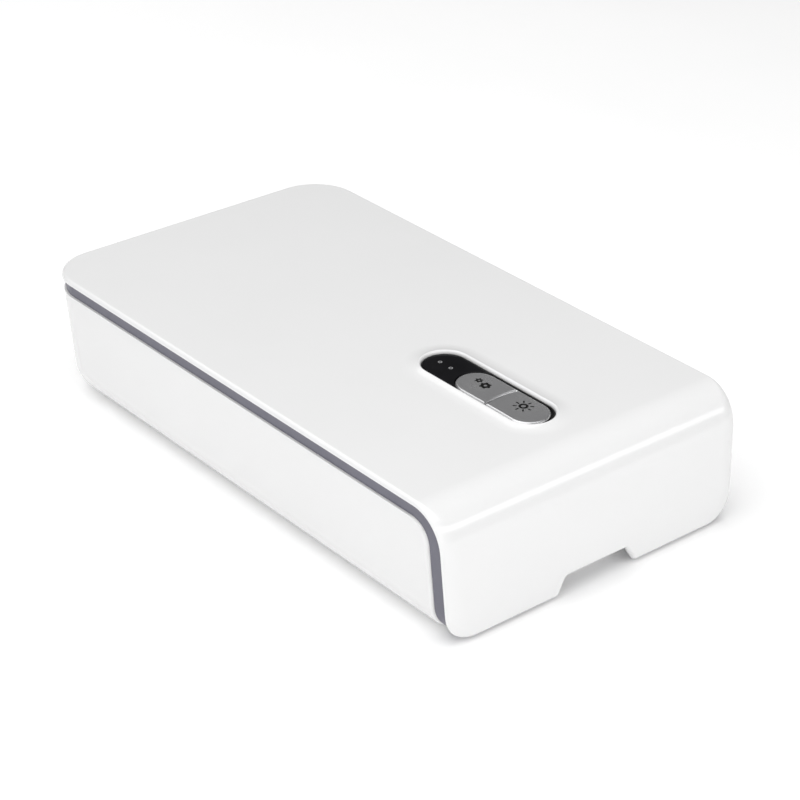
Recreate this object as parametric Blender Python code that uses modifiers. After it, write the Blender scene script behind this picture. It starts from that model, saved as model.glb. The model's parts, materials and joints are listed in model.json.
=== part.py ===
"""UV sterilizer cabinet for salon tools: a white box whose L-shaped lid, hinged at the back, covers a
mirror-lined chamber. Metres, +Z up, +X right, the front towards -Y, the origin under the middle of the box."""

import math

import bmesh
import bpy
from mathutils import Matrix, Vector

MM = 0.001

# Driving dimensions of the case.
WIDTH = 200.0 * MM  # across the lid's top
DEPTH = 350.0 * MM  # front face to back face, at the lid's top
HEIGHT = 72.0 * MM  # case without its feet
FOOT_LIFT = 2.0 * MM
SIDE_TAPER = 3.2 * MM  # each side comes in by this much at the bottom
BACK_TAPER = 5.5 * MM
FRONT_LEAN = 5.0 * MM  # the front face stands out by this much at the bottom
FRONT_FILLET = 22.5 * MM  # where the top rolls over into the front
REAR_CORNER = 28.0 * MM
FRONT_CORNER = 2.5 * MM
BOTTOM_FILLET = 16.0 * MM
BASE_FRONT_FILLET = 5.0 * MM  # the base's lower front edge, behind the lid's front
GAP = 0.3 * MM  # between pieces that touch

# The lid's layers, each measured inwards from the outer surface of the top and the front.
LID_SKIN = 2.9 * MM
BAND_END = 9.5 * MM
BAND_RECESS = 1.2 * MM
FRONT_GAIN = 0.30  # the layers are thicker by this share at the front
FRAME_WALL = 2.0 * MM
FRAME_FLOOR = 1.8 * MM
PARTING_GAP = 0.4 * MM

# The base.
BASE_WALL = 2.4 * MM
DECK_THICK = 2.0 * MM
CHAMBER_HALF_X = 85.0 * MM
CHAMBER_FRONT_SETBACK = 32.0 * MM
CHAMBER_BACK_SETBACK = 28.0 * MM
CHAMBER_CORNER = 18.0 * MM
CHAMBER_FLOOR_Z = 16.0 * MM
LINER_THICK = 0.8 * MM
LINER_FLANGE = 2.4 * MM

# The hinges.
KNUCKLE_RADIUS = 3.5 * MM
KNUCKLE_CLEARANCE = 3.85 * MM
HINGE_SETBACK = 1.0 * MM  # the axis lies this far behind the back face
HINGE_X = 55.0 * MM
PIN_RADIUS = 1.5 * MM
LID_KNUCKLE_HALF = 6.6 * MM
BASE_KNUCKLE_INNER = 7.0 * MM
BASE_KNUCKLE_OUTER = 18.0 * MM
PIN_HALF = 18.5 * MM

# The control pod, measured from the front face at the lid's top.
POD_X = 0.4 * MM
POD_FRONT = 36.7 * MM
POD_BACK = 128.7 * MM
POD_HALF = 13.2 * MM
BEAD_HEIGHT = 1.3 * MM
BEAD_WIDTH = 5.5 * MM
BEZEL_DROP = 0.35 * MM
BEZEL_RIM = 0.7 * MM
BEZEL_FLOOR = 2.0 * MM
BEZEL_FLANGE = 2.4 * MM
BUTTON_HALF = 11.5 * MM
BUTTON_DROP = 0.1 * MM
BUTTON_THICK = 1.1 * MM
BUTTON_TRAVEL = 0.5 * MM
BUTTON_FRONT = 39.4 * MM
BUTTON_BACK = 101.8 * MM
BUTTON_DIVIDE = 72.5 * MM
DIVIDE_RADIUS = 60.0 * MM
DIVIDE_GAP = 0.6 * MM
STEM_RADIUS = 2.0 * MM
STEM_LENGTH = 3.8 * MM

# The finger notch in the lower edge of the front.
NOTCH_TOP_HALF = 20.7 * MM
NOTCH_FOOT_HALF = 26.4 * MM
NOTCH_HEIGHT = 9.4 * MM

# Screws, feet, emitters, inlet and rack.
LID_SCREW_X = 90.0 * MM
LID_SCREW_YS = (-120.0 * MM, 105.0 * MM)
DECK_SCREW_X = 91.5 * MM
DECK_SCREW_YS = (-110.0 * MM, 120.0 * MM)
SCREW_HEAD = 2.5 * MM
SCREW_HEAD_HEIGHT = 1.0 * MM
SCREW_SHANK = 1.25 * MM
HEAD_SEAT = 2.9 * MM
HEAD_SEAT_DEPTH = 1.3 * MM
FOOT_X = 70.0 * MM
FOOT_Y = 140.0 * MM
FOOT_RADIUS = 7.0 * MM
FOOT_SINK = 0.7 * MM
LID_LED_X = 45.0 * MM
LED_PITCH_LID = 85.0 * MM
LED_PITCH_BASE = 80.0 * MM
LED_HOLE = 4.6 * MM
LED_BOARD_WIDTH = 16.0 * MM
INLET_X = 60.0 * MM
INLET_Z = 26.0 * MM
INLET_NOSE = 4.1 * MM
INLET_BORE = 2.9 * MM
INLET_PIN = 1.0 * MM
RACK_HALF_X = 79.0 * MM
RACK_SETBACK = 8.0 * MM
RACK_LIFT = 10.0 * MM
RACK_THICK = 2.4 * MM
RACK_BARS = 19
RACK_LEG_X = 73.0 * MM
RACK_LEG_RADIUS = 2.6 * MM
MAGNET_X = 80.0 * MM
MAGNET_RADIUS = 4.0 * MM
MAGNET_THICK = 3.0 * MM

# Places worked out from the sizes above.
HINGE_OVERHANG = KNUCKLE_RADIUS + HINGE_SETBACK
BOTTOM = FOOT_LIFT
TOP = BOTTOM + HEIGHT
PARTING_Z = TOP - BAND_END
RIM_Z = PARTING_Z - PARTING_GAP
HINGE_Z = (PARTING_Z + RIM_Z) / 2
HINGE_DRAFT = BACK_TAPER * (TOP - HINGE_Z) / HEIGHT
BACK_Y = (DEPTH + FRONT_LEAN - HINGE_OVERHANG + HINGE_DRAFT) / 2
FRONT_Y = BACK_Y - DEPTH
HINGE_Y = BACK_Y - HINGE_DRAFT + HINGE_SETBACK
LEAN = math.atan2(FRONT_LEAN, HEIGHT)
FILLET_Y = FRONT_Y + FRONT_FILLET * (1 - math.sin(LEAN)) / math.cos(LEAN)
FILLET_Z = TOP - FRONT_FILLET
CHAMBER_FRONT = FRONT_Y + CHAMBER_FRONT_SETBACK
CHAMBER_BACK = BACK_Y - CHAMBER_BACK_SETBACK
RACK_FRONT = CHAMBER_FRONT + RACK_SETBACK
RACK_BACK = CHAMBER_BACK - RACK_SETBACK
BEYOND = 30.0 * MM  # how far a cutter runs past what it cuts

# Lengths of the hinge's pieces along its axis, from the middle of each hinge.
BASE_SPANS = ((-BASE_KNUCKLE_OUTER, -BASE_KNUCKLE_INNER), (BASE_KNUCKLE_INNER, BASE_KNUCKLE_OUTER))
LID_SPANS = ((-LID_KNUCKLE_HALF, LID_KNUCKLE_HALF),)
BASE_CLEAR = ((-BASE_KNUCKLE_OUTER - GAP, -LID_KNUCKLE_HALF), (LID_KNUCKLE_HALF, BASE_KNUCKLE_OUTER + GAP))
LID_CLEAR = ((-BASE_KNUCKLE_INNER, BASE_KNUCKLE_INNER),)
PIN_CLEAR = ((-PIN_HALF - MM, PIN_HALF + MM),)

REAR_STEPS = 6
FRONT_STEPS = 2
ROUND_STEPS = 4
FILLET_STEPS = 7


def clear_scene():
    for item in list(bpy.data.objects):
        bpy.data.objects.remove(item, do_unlink=True)


def collection(name):
    made = bpy.data.collections.new(name)
    bpy.context.scene.collection.children.link(made)
    return made


def material(name, colour, roughness, metallic=0.0):
    made = bpy.data.materials.new(name)
    made.use_nodes = True
    shader = made.node_tree.nodes["Principled BSDF"]
    shader.inputs["Base Color"].default_value = (*colour, 1.0)
    shader.inputs["Roughness"].default_value = roughness
    shader.inputs["Metallic"].default_value = metallic
    return made


# Outlines in plan.


def arc(centre_x, centre_y, radius, start, end, steps):
    """Points on a circle from start to end, in degrees, both ends included."""
    angles = [math.radians(start + (end - start) * k / steps) for k in range(steps + 1)]
    return [(centre_x + radius * math.cos(a), centre_y + radius * math.sin(a)) for a in angles]


def outline(half, front, back, front_radius, back_radius, centre=0.0, steps=(FRONT_STEPS, REAR_STEPS)):
    """A rectangle with rounded corners, anticlockwise from its front left corner."""
    f, b = front_radius, back_radius
    left, right = centre - half, centre + half
    return (
        arc(left + f, front + f, f, 180, 270, steps[0])
        + arc(right - f, front + f, f, 270, 360, steps[0])
        + arc(right - b, back - b, b, 0, 90, steps[1])
        + arc(left + b, back - b, b, 90, 180, steps[1])
    )


def stadium(half, front, back, centre=POD_X, steps=10):
    """A slot with round ends, leaving out the points that its two ends share."""
    return arc(centre, front + half, half, 180, 360, steps) + arc(centre, back - half, half, 0, 180, steps)


# Sections of the case, one for each height.


def front_at(z, offset):
    """Where the front surface lies at a height, moved inwards by an offset."""
    radius = FRONT_FILLET - offset
    back = FRONT_GAIN * offset
    if z > FILLET_Z + radius * math.sin(LEAN):
        rise = min(z - FILLET_Z, radius)
        return FILLET_Y + back - math.sqrt(radius**2 - rise**2)
    return FRONT_Y + back - FRONT_LEAN * (TOP - z) / HEIGHT + offset / math.cos(LEAN)


def round_in(z, inset, fillet=BOTTOM_FILLET):
    """How far the bottom's rounding takes a side in at a height."""
    radius = fillet - inset
    below = min(max(BOTTOM + fillet - z, 0.0), radius)
    return radius - math.sqrt(radius**2 - below**2)


def half_at(z):
    return WIDTH / 2 - SIDE_TAPER * (TOP - z) / HEIGHT


def back_at(z):
    return BACK_Y - BACK_TAPER * (TOP - z) / HEIGHT


def section(z, inset=0.0, offset=0.0, round_front=False, setback=0.0):
    """The case's outline at a height; setback moves its front further in."""
    rounding = round_in(z, inset)
    front = front_at(z, offset) + setback + (round_in(z, inset, BASE_FRONT_FILLET) if round_front else 0.0)
    corner = max(FRONT_CORNER - inset, 0.5 * MM)
    rear = REAR_CORNER - inset - rounding / 2
    points = outline(half_at(z) - inset - rounding, front, back_at(z) - inset - rounding, corner, rear)
    return [(x, y, z) for x, y in points]


def heights(inset, offset):
    """Heights of the sections, close together where the case is rounded."""
    radius = BOTTOM_FILLET - inset
    low = [
        BOTTOM + BOTTOM_FILLET - radius * math.cos(math.radians(90 * k / ROUND_STEPS))
        for k in range(ROUND_STEPS + 1)
    ]
    start = math.degrees(LEAN)
    high = [
        FILLET_Z + (FRONT_FILLET - offset) * math.sin(math.radians(start + (90 - start) * k / FILLET_STEPS))
        for k in range(FILLET_STEPS + 1)
    ]
    return low + high


def case_sections(inset=0.0, offset=0.0, round_front=False):
    return [section(z, inset, offset, round_front) for z in heights(inset, offset)]


def side_profile(offset):
    """The lid's side view moved inwards, in Y and Z, closed behind and below the case."""
    low = BOTTOM - BEYOND
    lean = math.degrees(LEAN)
    curve = arc(
        FILLET_Y + FRONT_GAIN * offset, FILLET_Z, FRONT_FILLET - offset, 180 - lean, 90, FILLET_STEPS
    )
    return [(front_at(low, offset), low)] + curve + [(BACK_Y + BEYOND, TOP - offset), (BACK_Y + BEYOND, low)]


# Meshes.


def loft(rings):
    """One closed body through rings of equal length, capped at the first and the last."""
    bm = bmesh.new()
    loops = [[bm.verts.new(point) for point in ring] for ring in rings]
    for low, high in zip(loops, loops[1:]):
        for k in range(len(low)):
            following = (k + 1) % len(low)
            bm.faces.new((low[k], low[following], high[following], high[k]))
    bm.faces.new(loops[0])
    bm.faces.new(loops[-1])
    bmesh.ops.recalc_face_normals(bm, faces=bm.faces)
    return bm


def plate(points, low, high):
    """A flat outline in X and Y made into a slab."""
    return loft([[(x, y, low) for x, y in points], [(x, y, high) for x, y in points]])


def bar(points, left, right):
    """A flat outline in Y and Z run along X."""
    return loft([[(left, y, z) for y, z in points], [(right, y, z) for y, z in points]])


def box(size, centre):
    bm = bmesh.new()
    bmesh.ops.create_cube(bm, size=1.0, matrix=Matrix.Translation(centre) @ Matrix.Diagonal((*size, 1.0)))
    return bm


def cylinder(radius, low, high, place, along="Z", sides=20):
    """A round bar between two heights, or between two distances along another axis."""
    bm = bmesh.new()
    bmesh.ops.create_cone(
        bm, cap_ends=True, segments=sides, radius1=radius, radius2=radius, depth=high - low,
        matrix=Matrix.Translation((0, 0, (low + high) / 2)),
    )
    turn = {
        "Z": Matrix(),
        "Y": Matrix.Rotation(math.radians(-90), 4, "X"),
        "X": Matrix.Rotation(math.radians(90), 4, "Y"),
    }
    bmesh.ops.transform(bm, matrix=Matrix.Translation(place) @ turn[along], verts=bm.verts)
    return bm


def together(pieces):
    """Several separate closed bodies in one mesh, for a cutter or a set of bosses."""
    whole = bmesh.new()
    for piece in pieces:
        mesh = bpy.data.meshes.new("piece")
        piece.to_mesh(mesh)
        piece.free()
        whole.from_mesh(mesh)
        bpy.data.meshes.remove(mesh)
    return whole


class Case:
    """Holds the two collections, the joint empties and the materials while the parts are made."""

    def __init__(self):
        self.parts = collection("uv_sterilizer_cabinet")
        self.cutters = collection("cutters")
        self.looks = {}

    def link(self, name, bm, target):
        mesh = bpy.data.meshes.new(name)
        bm.to_mesh(mesh)
        bm.free()
        made = bpy.data.objects.new(name, mesh)
        target.objects.link(made)
        return made

    def part(self, name, bm, look, parent=None):
        made = self.link(name, bm, self.parts)
        made.data.shade_smooth()
        made.data.set_sharp_from_angle(angle=math.radians(35))
        made.data.materials.append(self.looks[look])
        if parent:
            made.parent = parent
            made.matrix_parent_inverse = Matrix.Translation(parent.location).inverted()
        return made

    def cutter(self, name, bm):
        made = self.link(name, bm, self.cutters)
        made.hide_render = True
        made.display_type = "WIRE"
        return made

    def joint(self, name, place):
        made = bpy.data.objects.new(name, None)
        made.location = place
        made.empty_display_size = 10 * MM
        self.parts.objects.link(made)
        return made

    def boolean(self, target, operand, operation):
        change = target.modifiers.new(operand.name, "BOOLEAN")
        change.operation = operation
        change.solver = "EXACT"
        change.object = operand


def cut(case, target, name, bm):
    case.boolean(target, case.cutter(name, bm), "DIFFERENCE")


def add(case, target, name, bm):
    case.boolean(target, case.cutter(name, bm), "UNION")


def materials(case):
    table = {
        "white_abs": ((0.88, 0.88, 0.88), 0.32, 0.0),
        "grey_abs": ((0.17, 0.17, 0.21), 0.45, 0.0),
        "mirror": ((0.86, 0.87, 0.88), 0.08, 1.0),
        "silver": ((0.45, 0.45, 0.47), 0.30, 0.8),
        "black_gloss": ((0.01, 0.01, 0.012), 0.08, 0.0),
        "board": ((0.03, 0.16, 0.08), 0.45, 0.0),
        "steel": ((0.62, 0.62, 0.63), 0.25, 1.0),
        "magnet": ((0.55, 0.55, 0.57), 0.22, 1.0),
        "rubber": ((0.05, 0.05, 0.055), 0.75, 0.0),
        "black_plastic": ((0.02, 0.02, 0.022), 0.5, 0.0),
        "quartz": ((0.75, 0.80, 0.95), 0.05, 0.0),
        "indicator": ((0.80, 0.85, 0.80), 0.25, 0.0),
    }
    for name, (colour, roughness, metallic) in table.items():
        case.looks[name] = material(name, colour, roughness, metallic)


# The lid.


def notch_outline(grow):
    """The finger notch in X and Z, with its sides flared towards the foot."""
    low = BOTTOM - BEYOND
    top = BOTTOM + NOTCH_HEIGHT + grow
    slope = (NOTCH_FOOT_HALF - NOTCH_TOP_HALF) / NOTCH_HEIGHT
    wide = NOTCH_TOP_HALF + grow + slope * (top - low)
    return [(-wide, low), (wide, low), (NOTCH_TOP_HALF + grow, top), (-NOTCH_TOP_HALF - grow, top)]


def notch(grow=0.0):
    back = FRONT_Y + BAND_END + BEYOND
    points = notch_outline(grow)
    return loft([[(x, FRONT_Y - BEYOND, z) for x, z in points], [(x, back, z) for x, z in points]])


def pod_rings(rows):
    """Rings round the pod, each given as its growth outwards and its height above the lid's top."""
    front, back = FRONT_Y + POD_FRONT, FRONT_Y + POD_BACK
    return [[(x, y, TOP + z) for x, y in stadium(POD_HALF + g, front - g, back + g)] for g, z in rows]


def lid_screw_places():
    return [(side * LID_SCREW_X, y) for side in (-1, 1) for y in LID_SCREW_YS]


def lid_shell(case, lid):
    made = case.part("lid_shell", loft(case_sections()), "white_abs", lid)
    cut(case, made, "lid_inside", bar(side_profile(LID_SKIN), -WIDTH, WIDTH))
    bead = [(BEAD_WIDTH, -0.5 * LID_SKIN), (BEAD_WIDTH, 0.0), (0.55 * BEAD_WIDTH, 0.4 * BEAD_HEIGHT)]
    bead += [(0.3 * BEAD_WIDTH, 0.85 * BEAD_HEIGHT), (0.15 * BEAD_WIDTH, BEAD_HEIGHT)]
    add(case, made, "pod_bead", loft(pod_rings(bead)))
    boss_low, boss_high = PARTING_Z + FRAME_FLOOR + GAP, TOP - 0.5 * LID_SKIN
    bosses = [cylinder(3 * MM, boss_low, boss_high, (x, y, 0)) for x, y in lid_screw_places()]
    add(case, made, "lid_bosses", together(bosses))
    holes = [
        cylinder(1.6 * MM, boss_low - MM, TOP - LID_SKIN, (x, y, 0), sides=12)
        for x, y in lid_screw_places()
    ]
    cut(case, made, "lid_boss_holes", together(holes))
    cut(case, made, "pod_opening", loft(pod_rings([(0.0, -2 * LID_SKIN), (0.0, 2 * BEAD_HEIGHT)])))
    cut(case, made, "lid_notch", notch())


def knuckle(direction, wall, reach, low):
    """A maker of hinge knuckles with their webs, which run up or down into a wall."""
    points = arc(HINGE_Y, HINGE_Z, KNUCKLE_RADIUS, 170 * direction, -85 * direction, 10)
    points += [(HINGE_Y - wall, HINGE_Z - direction * reach), (HINGE_Y - wall, HINGE_Z - direction * low)]
    return lambda left, right: bar(points, left, right)


def both_hinges(make, spans):
    """Pieces of both hinges, each span of X made by the same maker."""
    return together([
        make(side * HINGE_X + left, side * HINGE_X + right) for side in (-1, 1) for left, right in spans
    ])


def axis_bar(radius):
    return lambda left, right: cylinder(radius, left, right, (0, HINGE_Y, HINGE_Z), "X")


def lid_frame(case, lid):
    """The grey inner tray: its wall is the band between lid and base, its floor closes the lid."""
    made = case.part("lid_frame", loft(case_sections(BAND_RECESS, LID_SKIN + GAP)), "grey_abs", lid)
    cut(case, made, "frame_inside", bar(side_profile(BAND_END), -WIDTH, WIDTH))
    hollow = case.cutter("frame_hollow", loft(case_sections(BAND_RECESS + FRAME_WALL, -5 * MM)))
    cut(case, hollow, "frame_floor", bar(side_profile(BAND_END - FRAME_FLOOR), -WIDTH, WIDTH))
    cut(case, hollow, "notch_surround", notch(FRAME_WALL))
    case.boolean(made, hollow, "DIFFERENCE")
    cut(case, made, "frame_notch", notch())
    cut(case, made, "frame_hinge_clearance", both_hinges(axis_bar(KNUCKLE_CLEARANCE), BASE_CLEAR))
    lid_knuckle = knuckle(-1, 3.2 * MM, 5.5 * MM, 0.8 * MM)
    add(case, made, "frame_knuckles", both_hinges(lid_knuckle, LID_SPANS))
    cut(case, made, "frame_pin_holes", both_hinges(axis_bar(PIN_RADIUS + GAP), PIN_CLEAR))
    floor_low, floor_high = PARTING_Z - MM, PARTING_Z + FRAME_FLOOR + MM
    holes = [cylinder(5 * MM, floor_low, floor_high, (x, y, 0)) for x, y in lid_led_places()]
    holes += [cylinder(1.7 * MM, floor_low, floor_high, (x, y, 0), sides=12) for x, y in lid_screw_places()]
    seat = PARTING_Z + HEAD_SEAT_DEPTH
    heads = [cylinder(HEAD_SEAT, floor_low, seat, (x, y, 0), sides=16) for x, y in lid_screw_places()]
    cut(case, made, "frame_holes", together(holes))
    cut(case, made, "frame_screw_seats", together(heads))


def lid_led_places():
    return [(side * LID_LED_X, step * LED_PITCH_LID) for side in (-1, 1) for step in (-1, 0, 1)]


def chamber_outline(shrink):
    return outline(
        CHAMBER_HALF_X - shrink, CHAMBER_FRONT + shrink, CHAMBER_BACK - shrink,
        CHAMBER_CORNER - shrink, CHAMBER_CORNER - shrink, steps=(5, 5),
    )


def lid_lining(case, lid):
    """The reflector under the lid and the soft seal round it."""
    top = PARTING_Z - GAP
    made = case.part("lid_reflector", plate(chamber_outline(4 * MM), top - 0.5 * MM, top), "mirror", lid)
    holes = [cylinder(LED_HOLE, top - MM, top + MM, (x, y, 0)) for x, y in lid_led_places()]
    cut(case, made, "reflector_holes", together(holes))
    outer, inner, low = chamber_outline(1.4 * MM), chamber_outline(3.6 * MM), top - 2.5 * MM
    rings = [(outer, top), (outer, low), (inner, low), (inner, top)]
    seal = bmesh.new()
    loops = [[seal.verts.new((x, y, z)) for x, y in points] for points, z in rings]
    for low_loop, high_loop in zip(loops, loops[1:] + loops[:1]):
        for k in range(len(low_loop)):
            following = (k + 1) % len(low_loop)
            seal.faces.new((low_loop[k], low_loop[following], high_loop[following], high_loop[k]))
    bmesh.ops.recalc_face_normals(seal, faces=seal.faces)
    case.part("light_seal", seal, "rubber", lid)


def led_module(place, direction):
    """A round emitter with a domed quartz lens, facing up or down from its board."""
    x, y, z = place
    profile = [(4.0, 0.0), (4.0, 1.6), (3.0, 1.6)] + [
        (3.0 * math.cos(math.radians(a)), 1.6 + 2.2 * math.sin(math.radians(a))) for a in (35, 70)
    ]
    rings = [
        [(x + r * MM * math.cos(t), y + r * MM * math.sin(t), z + direction * h * MM) for t in circle_angles(12)]
        for r, h in profile
    ]
    return loft(rings)


def circle_angles(count):
    return [2 * math.pi * k / count for k in range(count)]


def lid_lamps(case, lid):
    floor = PARTING_Z + FRAME_FLOOR
    for side, word in ((-1, "left"), (1, "right")):
        centre = (side * LID_LED_X, 0, floor + GAP + 0.5 * MM)
        size = (LED_BOARD_WIDTH, 196 * MM, 1.0 * MM)
        case.part(f"lid_led_board_{word}", box(size, centre), "board", lid)
    for k, (x, y) in enumerate(lid_led_places()):
        case.part(f"uvc_led_lid_{k + 1}", led_module((x, y, floor), -1), "quartz", lid)


def pod(case, lid):
    front, back = FRONT_Y + POD_FRONT, FRONT_Y + POD_BACK
    lip, skin = BEZEL_DROP, LID_SKIN + GAP
    rows = [(2.3 * MM, -skin - 1.2 * MM), (2.3 * MM, -skin), (-GAP, -skin), (-GAP, -lip)]
    rows += [(-GAP - BEZEL_RIM, -lip), (-GAP - BEZEL_RIM, -BEZEL_FLOOR)]
    bezel = case.part("pod_bezel", loft(pod_rings(rows)), "black_plastic", lid)
    low, high = TOP - 6 * MM, TOP - MM
    through = [cylinder(STEM_RADIUS + 0.5 * MM, low, high, (POD_X, y, 0)) for y in stem_places()]
    through += [cylinder(1.6 * MM, low, high, (POD_X, y, 0), sides=12) for y in indicator_places()]
    cut(case, bezel, "bezel_holes", together(through))
    inside = POD_HALF - 2 * GAP - BEZEL_RIM
    grow = POD_HALF - inside
    slab = plate(stadium(inside, front + grow, back - grow), TOP - BEZEL_FLOOR + GAP, TOP - lip)
    window = case.part("indicator_window", slab, "black_gloss", lid)
    gap = BUTTON_HALF + 0.6 * MM
    round_end = FRONT_Y + BUTTON_BACK - BUTTON_HALF
    trim = outline(2 * POD_HALF, front - BEYOND, round_end, MM, MM, POD_X)
    cut(case, window, "window_trim", plate(trim, TOP - 5 * MM, TOP + 5 * MM))
    cut(case, window, "window_arc", cylinder(gap, TOP - 5 * MM, TOP + 5 * MM, (POD_X, round_end, 0), sides=48))


def stem_places():
    return [FRONT_Y + 86 * MM, FRONT_Y + 57 * MM]


def indicator_places():
    return [FRONT_Y + 111.5 * MM, FRONT_Y + 120 * MM]


def divide_arc(shift):
    """The shallow curve between the two buttons, from left to right."""
    reach = math.degrees(math.asin(BUTTON_HALF / DIVIDE_RADIUS))
    centre = FRONT_Y + BUTTON_DIVIDE + shift - DIVIDE_RADIUS
    return arc(POD_X, centre, DIVIDE_RADIUS, 90 + reach, 90 - reach, 8)


def button(case, lid, name, points, stem_y):
    low, high = TOP - BUTTON_DROP - BUTTON_THICK, TOP - BUTTON_DROP
    centre = Vector((POD_X, stem_y, low))
    bm = plate(points, low, high)
    bmesh.ops.translate(bm, vec=-centre, verts=bm.verts)
    travel = case.joint(f"{name}_travel", centre)
    travel.parent = lid
    travel.matrix_parent_inverse = Matrix.Translation(lid.location).inverted()
    made = case.part(name, bm, "silver")
    made.parent = travel
    edge = made.modifiers.new("edge", "BEVEL")
    edge.width = 0.35 * MM
    edge.segments = 2
    edge.limit_method = "ANGLE"
    edge.angle_limit = math.radians(60)
    stem = cylinder(STEM_RADIUS, low - STEM_LENGTH, low + 0.5 * BUTTON_THICK, (POD_X, stem_y, 0))
    add(case, made, f"{name}_stem", stem)


def buttons(case, lid):
    rear = arc(POD_X, FRONT_Y + BUTTON_BACK - BUTTON_HALF, BUTTON_HALF, 0, 180, 20)
    nose = arc(POD_X, FRONT_Y + BUTTON_FRONT + BUTTON_HALF, BUTTON_HALF, 180, 360, 20)
    button(case, lid, "button_mode", rear + divide_arc(DIVIDE_GAP / 2), stem_places()[0])
    button(case, lid, "button_light", nose + divide_arc(-DIVIDE_GAP / 2)[::-1], stem_places()[1])


def control_electronics(case, lid):
    floor = PARTING_Z + FRAME_FLOOR
    board_top = floor + GAP + 0.8 * MM
    y = FRONT_Y + (POD_FRONT + POD_BACK) / 2
    board = box((26 * MM, 88 * MM, 0.8 * MM), (POD_X, y, board_top - 0.4 * MM))
    case.part("control_board", board, "board", lid)
    for word, stem_y in zip(("mode", "light"), stem_places()):
        size, z = (6 * MM, 6 * MM, 0.7 * MM), board_top + GAP + 0.35 * MM
        case.part(f"tact_switch_{word}", box(size, (POD_X, stem_y, z)), "black_plastic", lid)
    for k, led_y in enumerate(indicator_places()):
        z = board_top + GAP + 0.4 * MM
        size = (2 * MM, 1.6 * MM, 0.8 * MM)
        case.part(f"indicator_led_{k + 1}", box(size, (POD_X, led_y, z)), "indicator", lid)


def magnets(case, lid):
    z = TOP - 30 * MM
    lid_y = front_at(z, LID_SKIN) + 0.8 * MM
    base_y = front_at(z, BAND_END + PARTING_GAP + BASE_WALL) + 0.7 * MM
    for side, word in ((-1, "left"), (1, "right")):
        x = side * MAGNET_X
        in_lid = cylinder(MAGNET_RADIUS, 0, MAGNET_THICK, (x, lid_y, z), "Y")
        in_base = cylinder(MAGNET_RADIUS, 0, MAGNET_THICK, (x, base_y, z), "Y")
        case.part(f"lid_magnet_{word}", in_lid, "magnet", lid)
        case.part(f"base_magnet_{word}", in_base, "magnet")
    low = PARTING_Z + FRAME_FLOOR + GAP
    sensor = cylinder(2.5 * MM, low, low + 2 * MM, (-90.5 * MM, -60 * MM, 0))
    case.part("sensor_magnet", sensor, "magnet", lid)
    switch = box((4 * MM, 14 * MM, 4 * MM), (-91 * MM, -60 * MM, RIM_Z - DECK_THICK - GAP - 2 * MM))
    case.part("lid_switch", switch, "black_plastic")


def screw(name, case, place, head_low, length, direction, parent=None):
    """A pan-head screw, its head at head_low and its shank running along direction."""
    x, y = place
    low = head_low if direction > 0 else head_low - SCREW_HEAD_HEIGHT
    head = cylinder(SCREW_HEAD, low, low + SCREW_HEAD_HEIGHT, (x, y, 0), sides=16)
    made = case.part(name, head, "steel", parent)
    tip = head_low + direction * length
    ends = sorted((head_low + 0.5 * direction * SCREW_HEAD_HEIGHT, tip))
    add(case, made, f"{name}_shank", cylinder(SCREW_SHANK, ends[0], ends[1], (x, y, 0), sides=12))


# The base.


def deck_screw_places():
    return [(side * DECK_SCREW_X, y) for side in (-1, 1) for y in DECK_SCREW_YS]


def foot_places():
    return [(side * FOOT_X, end * FOOT_Y) for side in (-1, 1) for end in (-1, 1)]


def base_shell(case):
    offset = BAND_END + PARTING_GAP
    outer = case_sections(0.0, offset, round_front=True)
    inner = case_sections(BASE_WALL, offset + BASE_WALL, round_front=True)
    mouth = section(TOP - offset - BASE_WALL, BASE_WALL, offset + BASE_WALL, setback=BASE_WALL)
    inner[-1] = mouth
    inner.append([(x, y, RIM_Z) for x, y, _ in mouth])
    made = case.part("base_shell", loft(outer + inner[::-1]), "white_abs")
    base_knuckle = knuckle(1, 2.2 * MM, 10 * MM, 0.8 * MM)
    add(case, made, "base_knuckles", both_hinges(base_knuckle, BASE_SPANS))
    cut(case, made, "base_hinge_clearance", both_hinges(axis_bar(KNUCKLE_CLEARANCE), LID_CLEAR))
    cut(case, made, "base_pin_holes", both_hinges(axis_bar(PIN_RADIUS + GAP), PIN_CLEAR))
    post_top = RIM_Z - DECK_THICK - GAP
    places = deck_screw_places()
    posts = [cylinder(2.8 * MM, BOTTOM + 8 * MM, post_top, (x, y, 0), sides=16) for x, y in places]
    add(case, made, "deck_posts", together(posts))
    holes = [cylinder(1.55 * MM, post_top - 9 * MM, post_top + MM, (x, y, 0), sides=12) for x, y in places]
    cut(case, made, "post_holes", together(holes))
    foot_hole = FOOT_RADIUS + GAP
    seats = [cylinder(foot_hole, BOTTOM - MM, BOTTOM + MM, (x, y, 0), sides=24) for x, y in foot_places()]
    cut(case, made, "foot_seats", together(seats))
    inlet_y = back_at(INLET_Z)
    hole = cylinder(INLET_NOSE + 0.5 * MM, -5 * MM, 5 * MM, (INLET_X, inlet_y, INLET_Z), "Y", 24)
    cut(case, made, "inlet_hole", hole)


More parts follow.
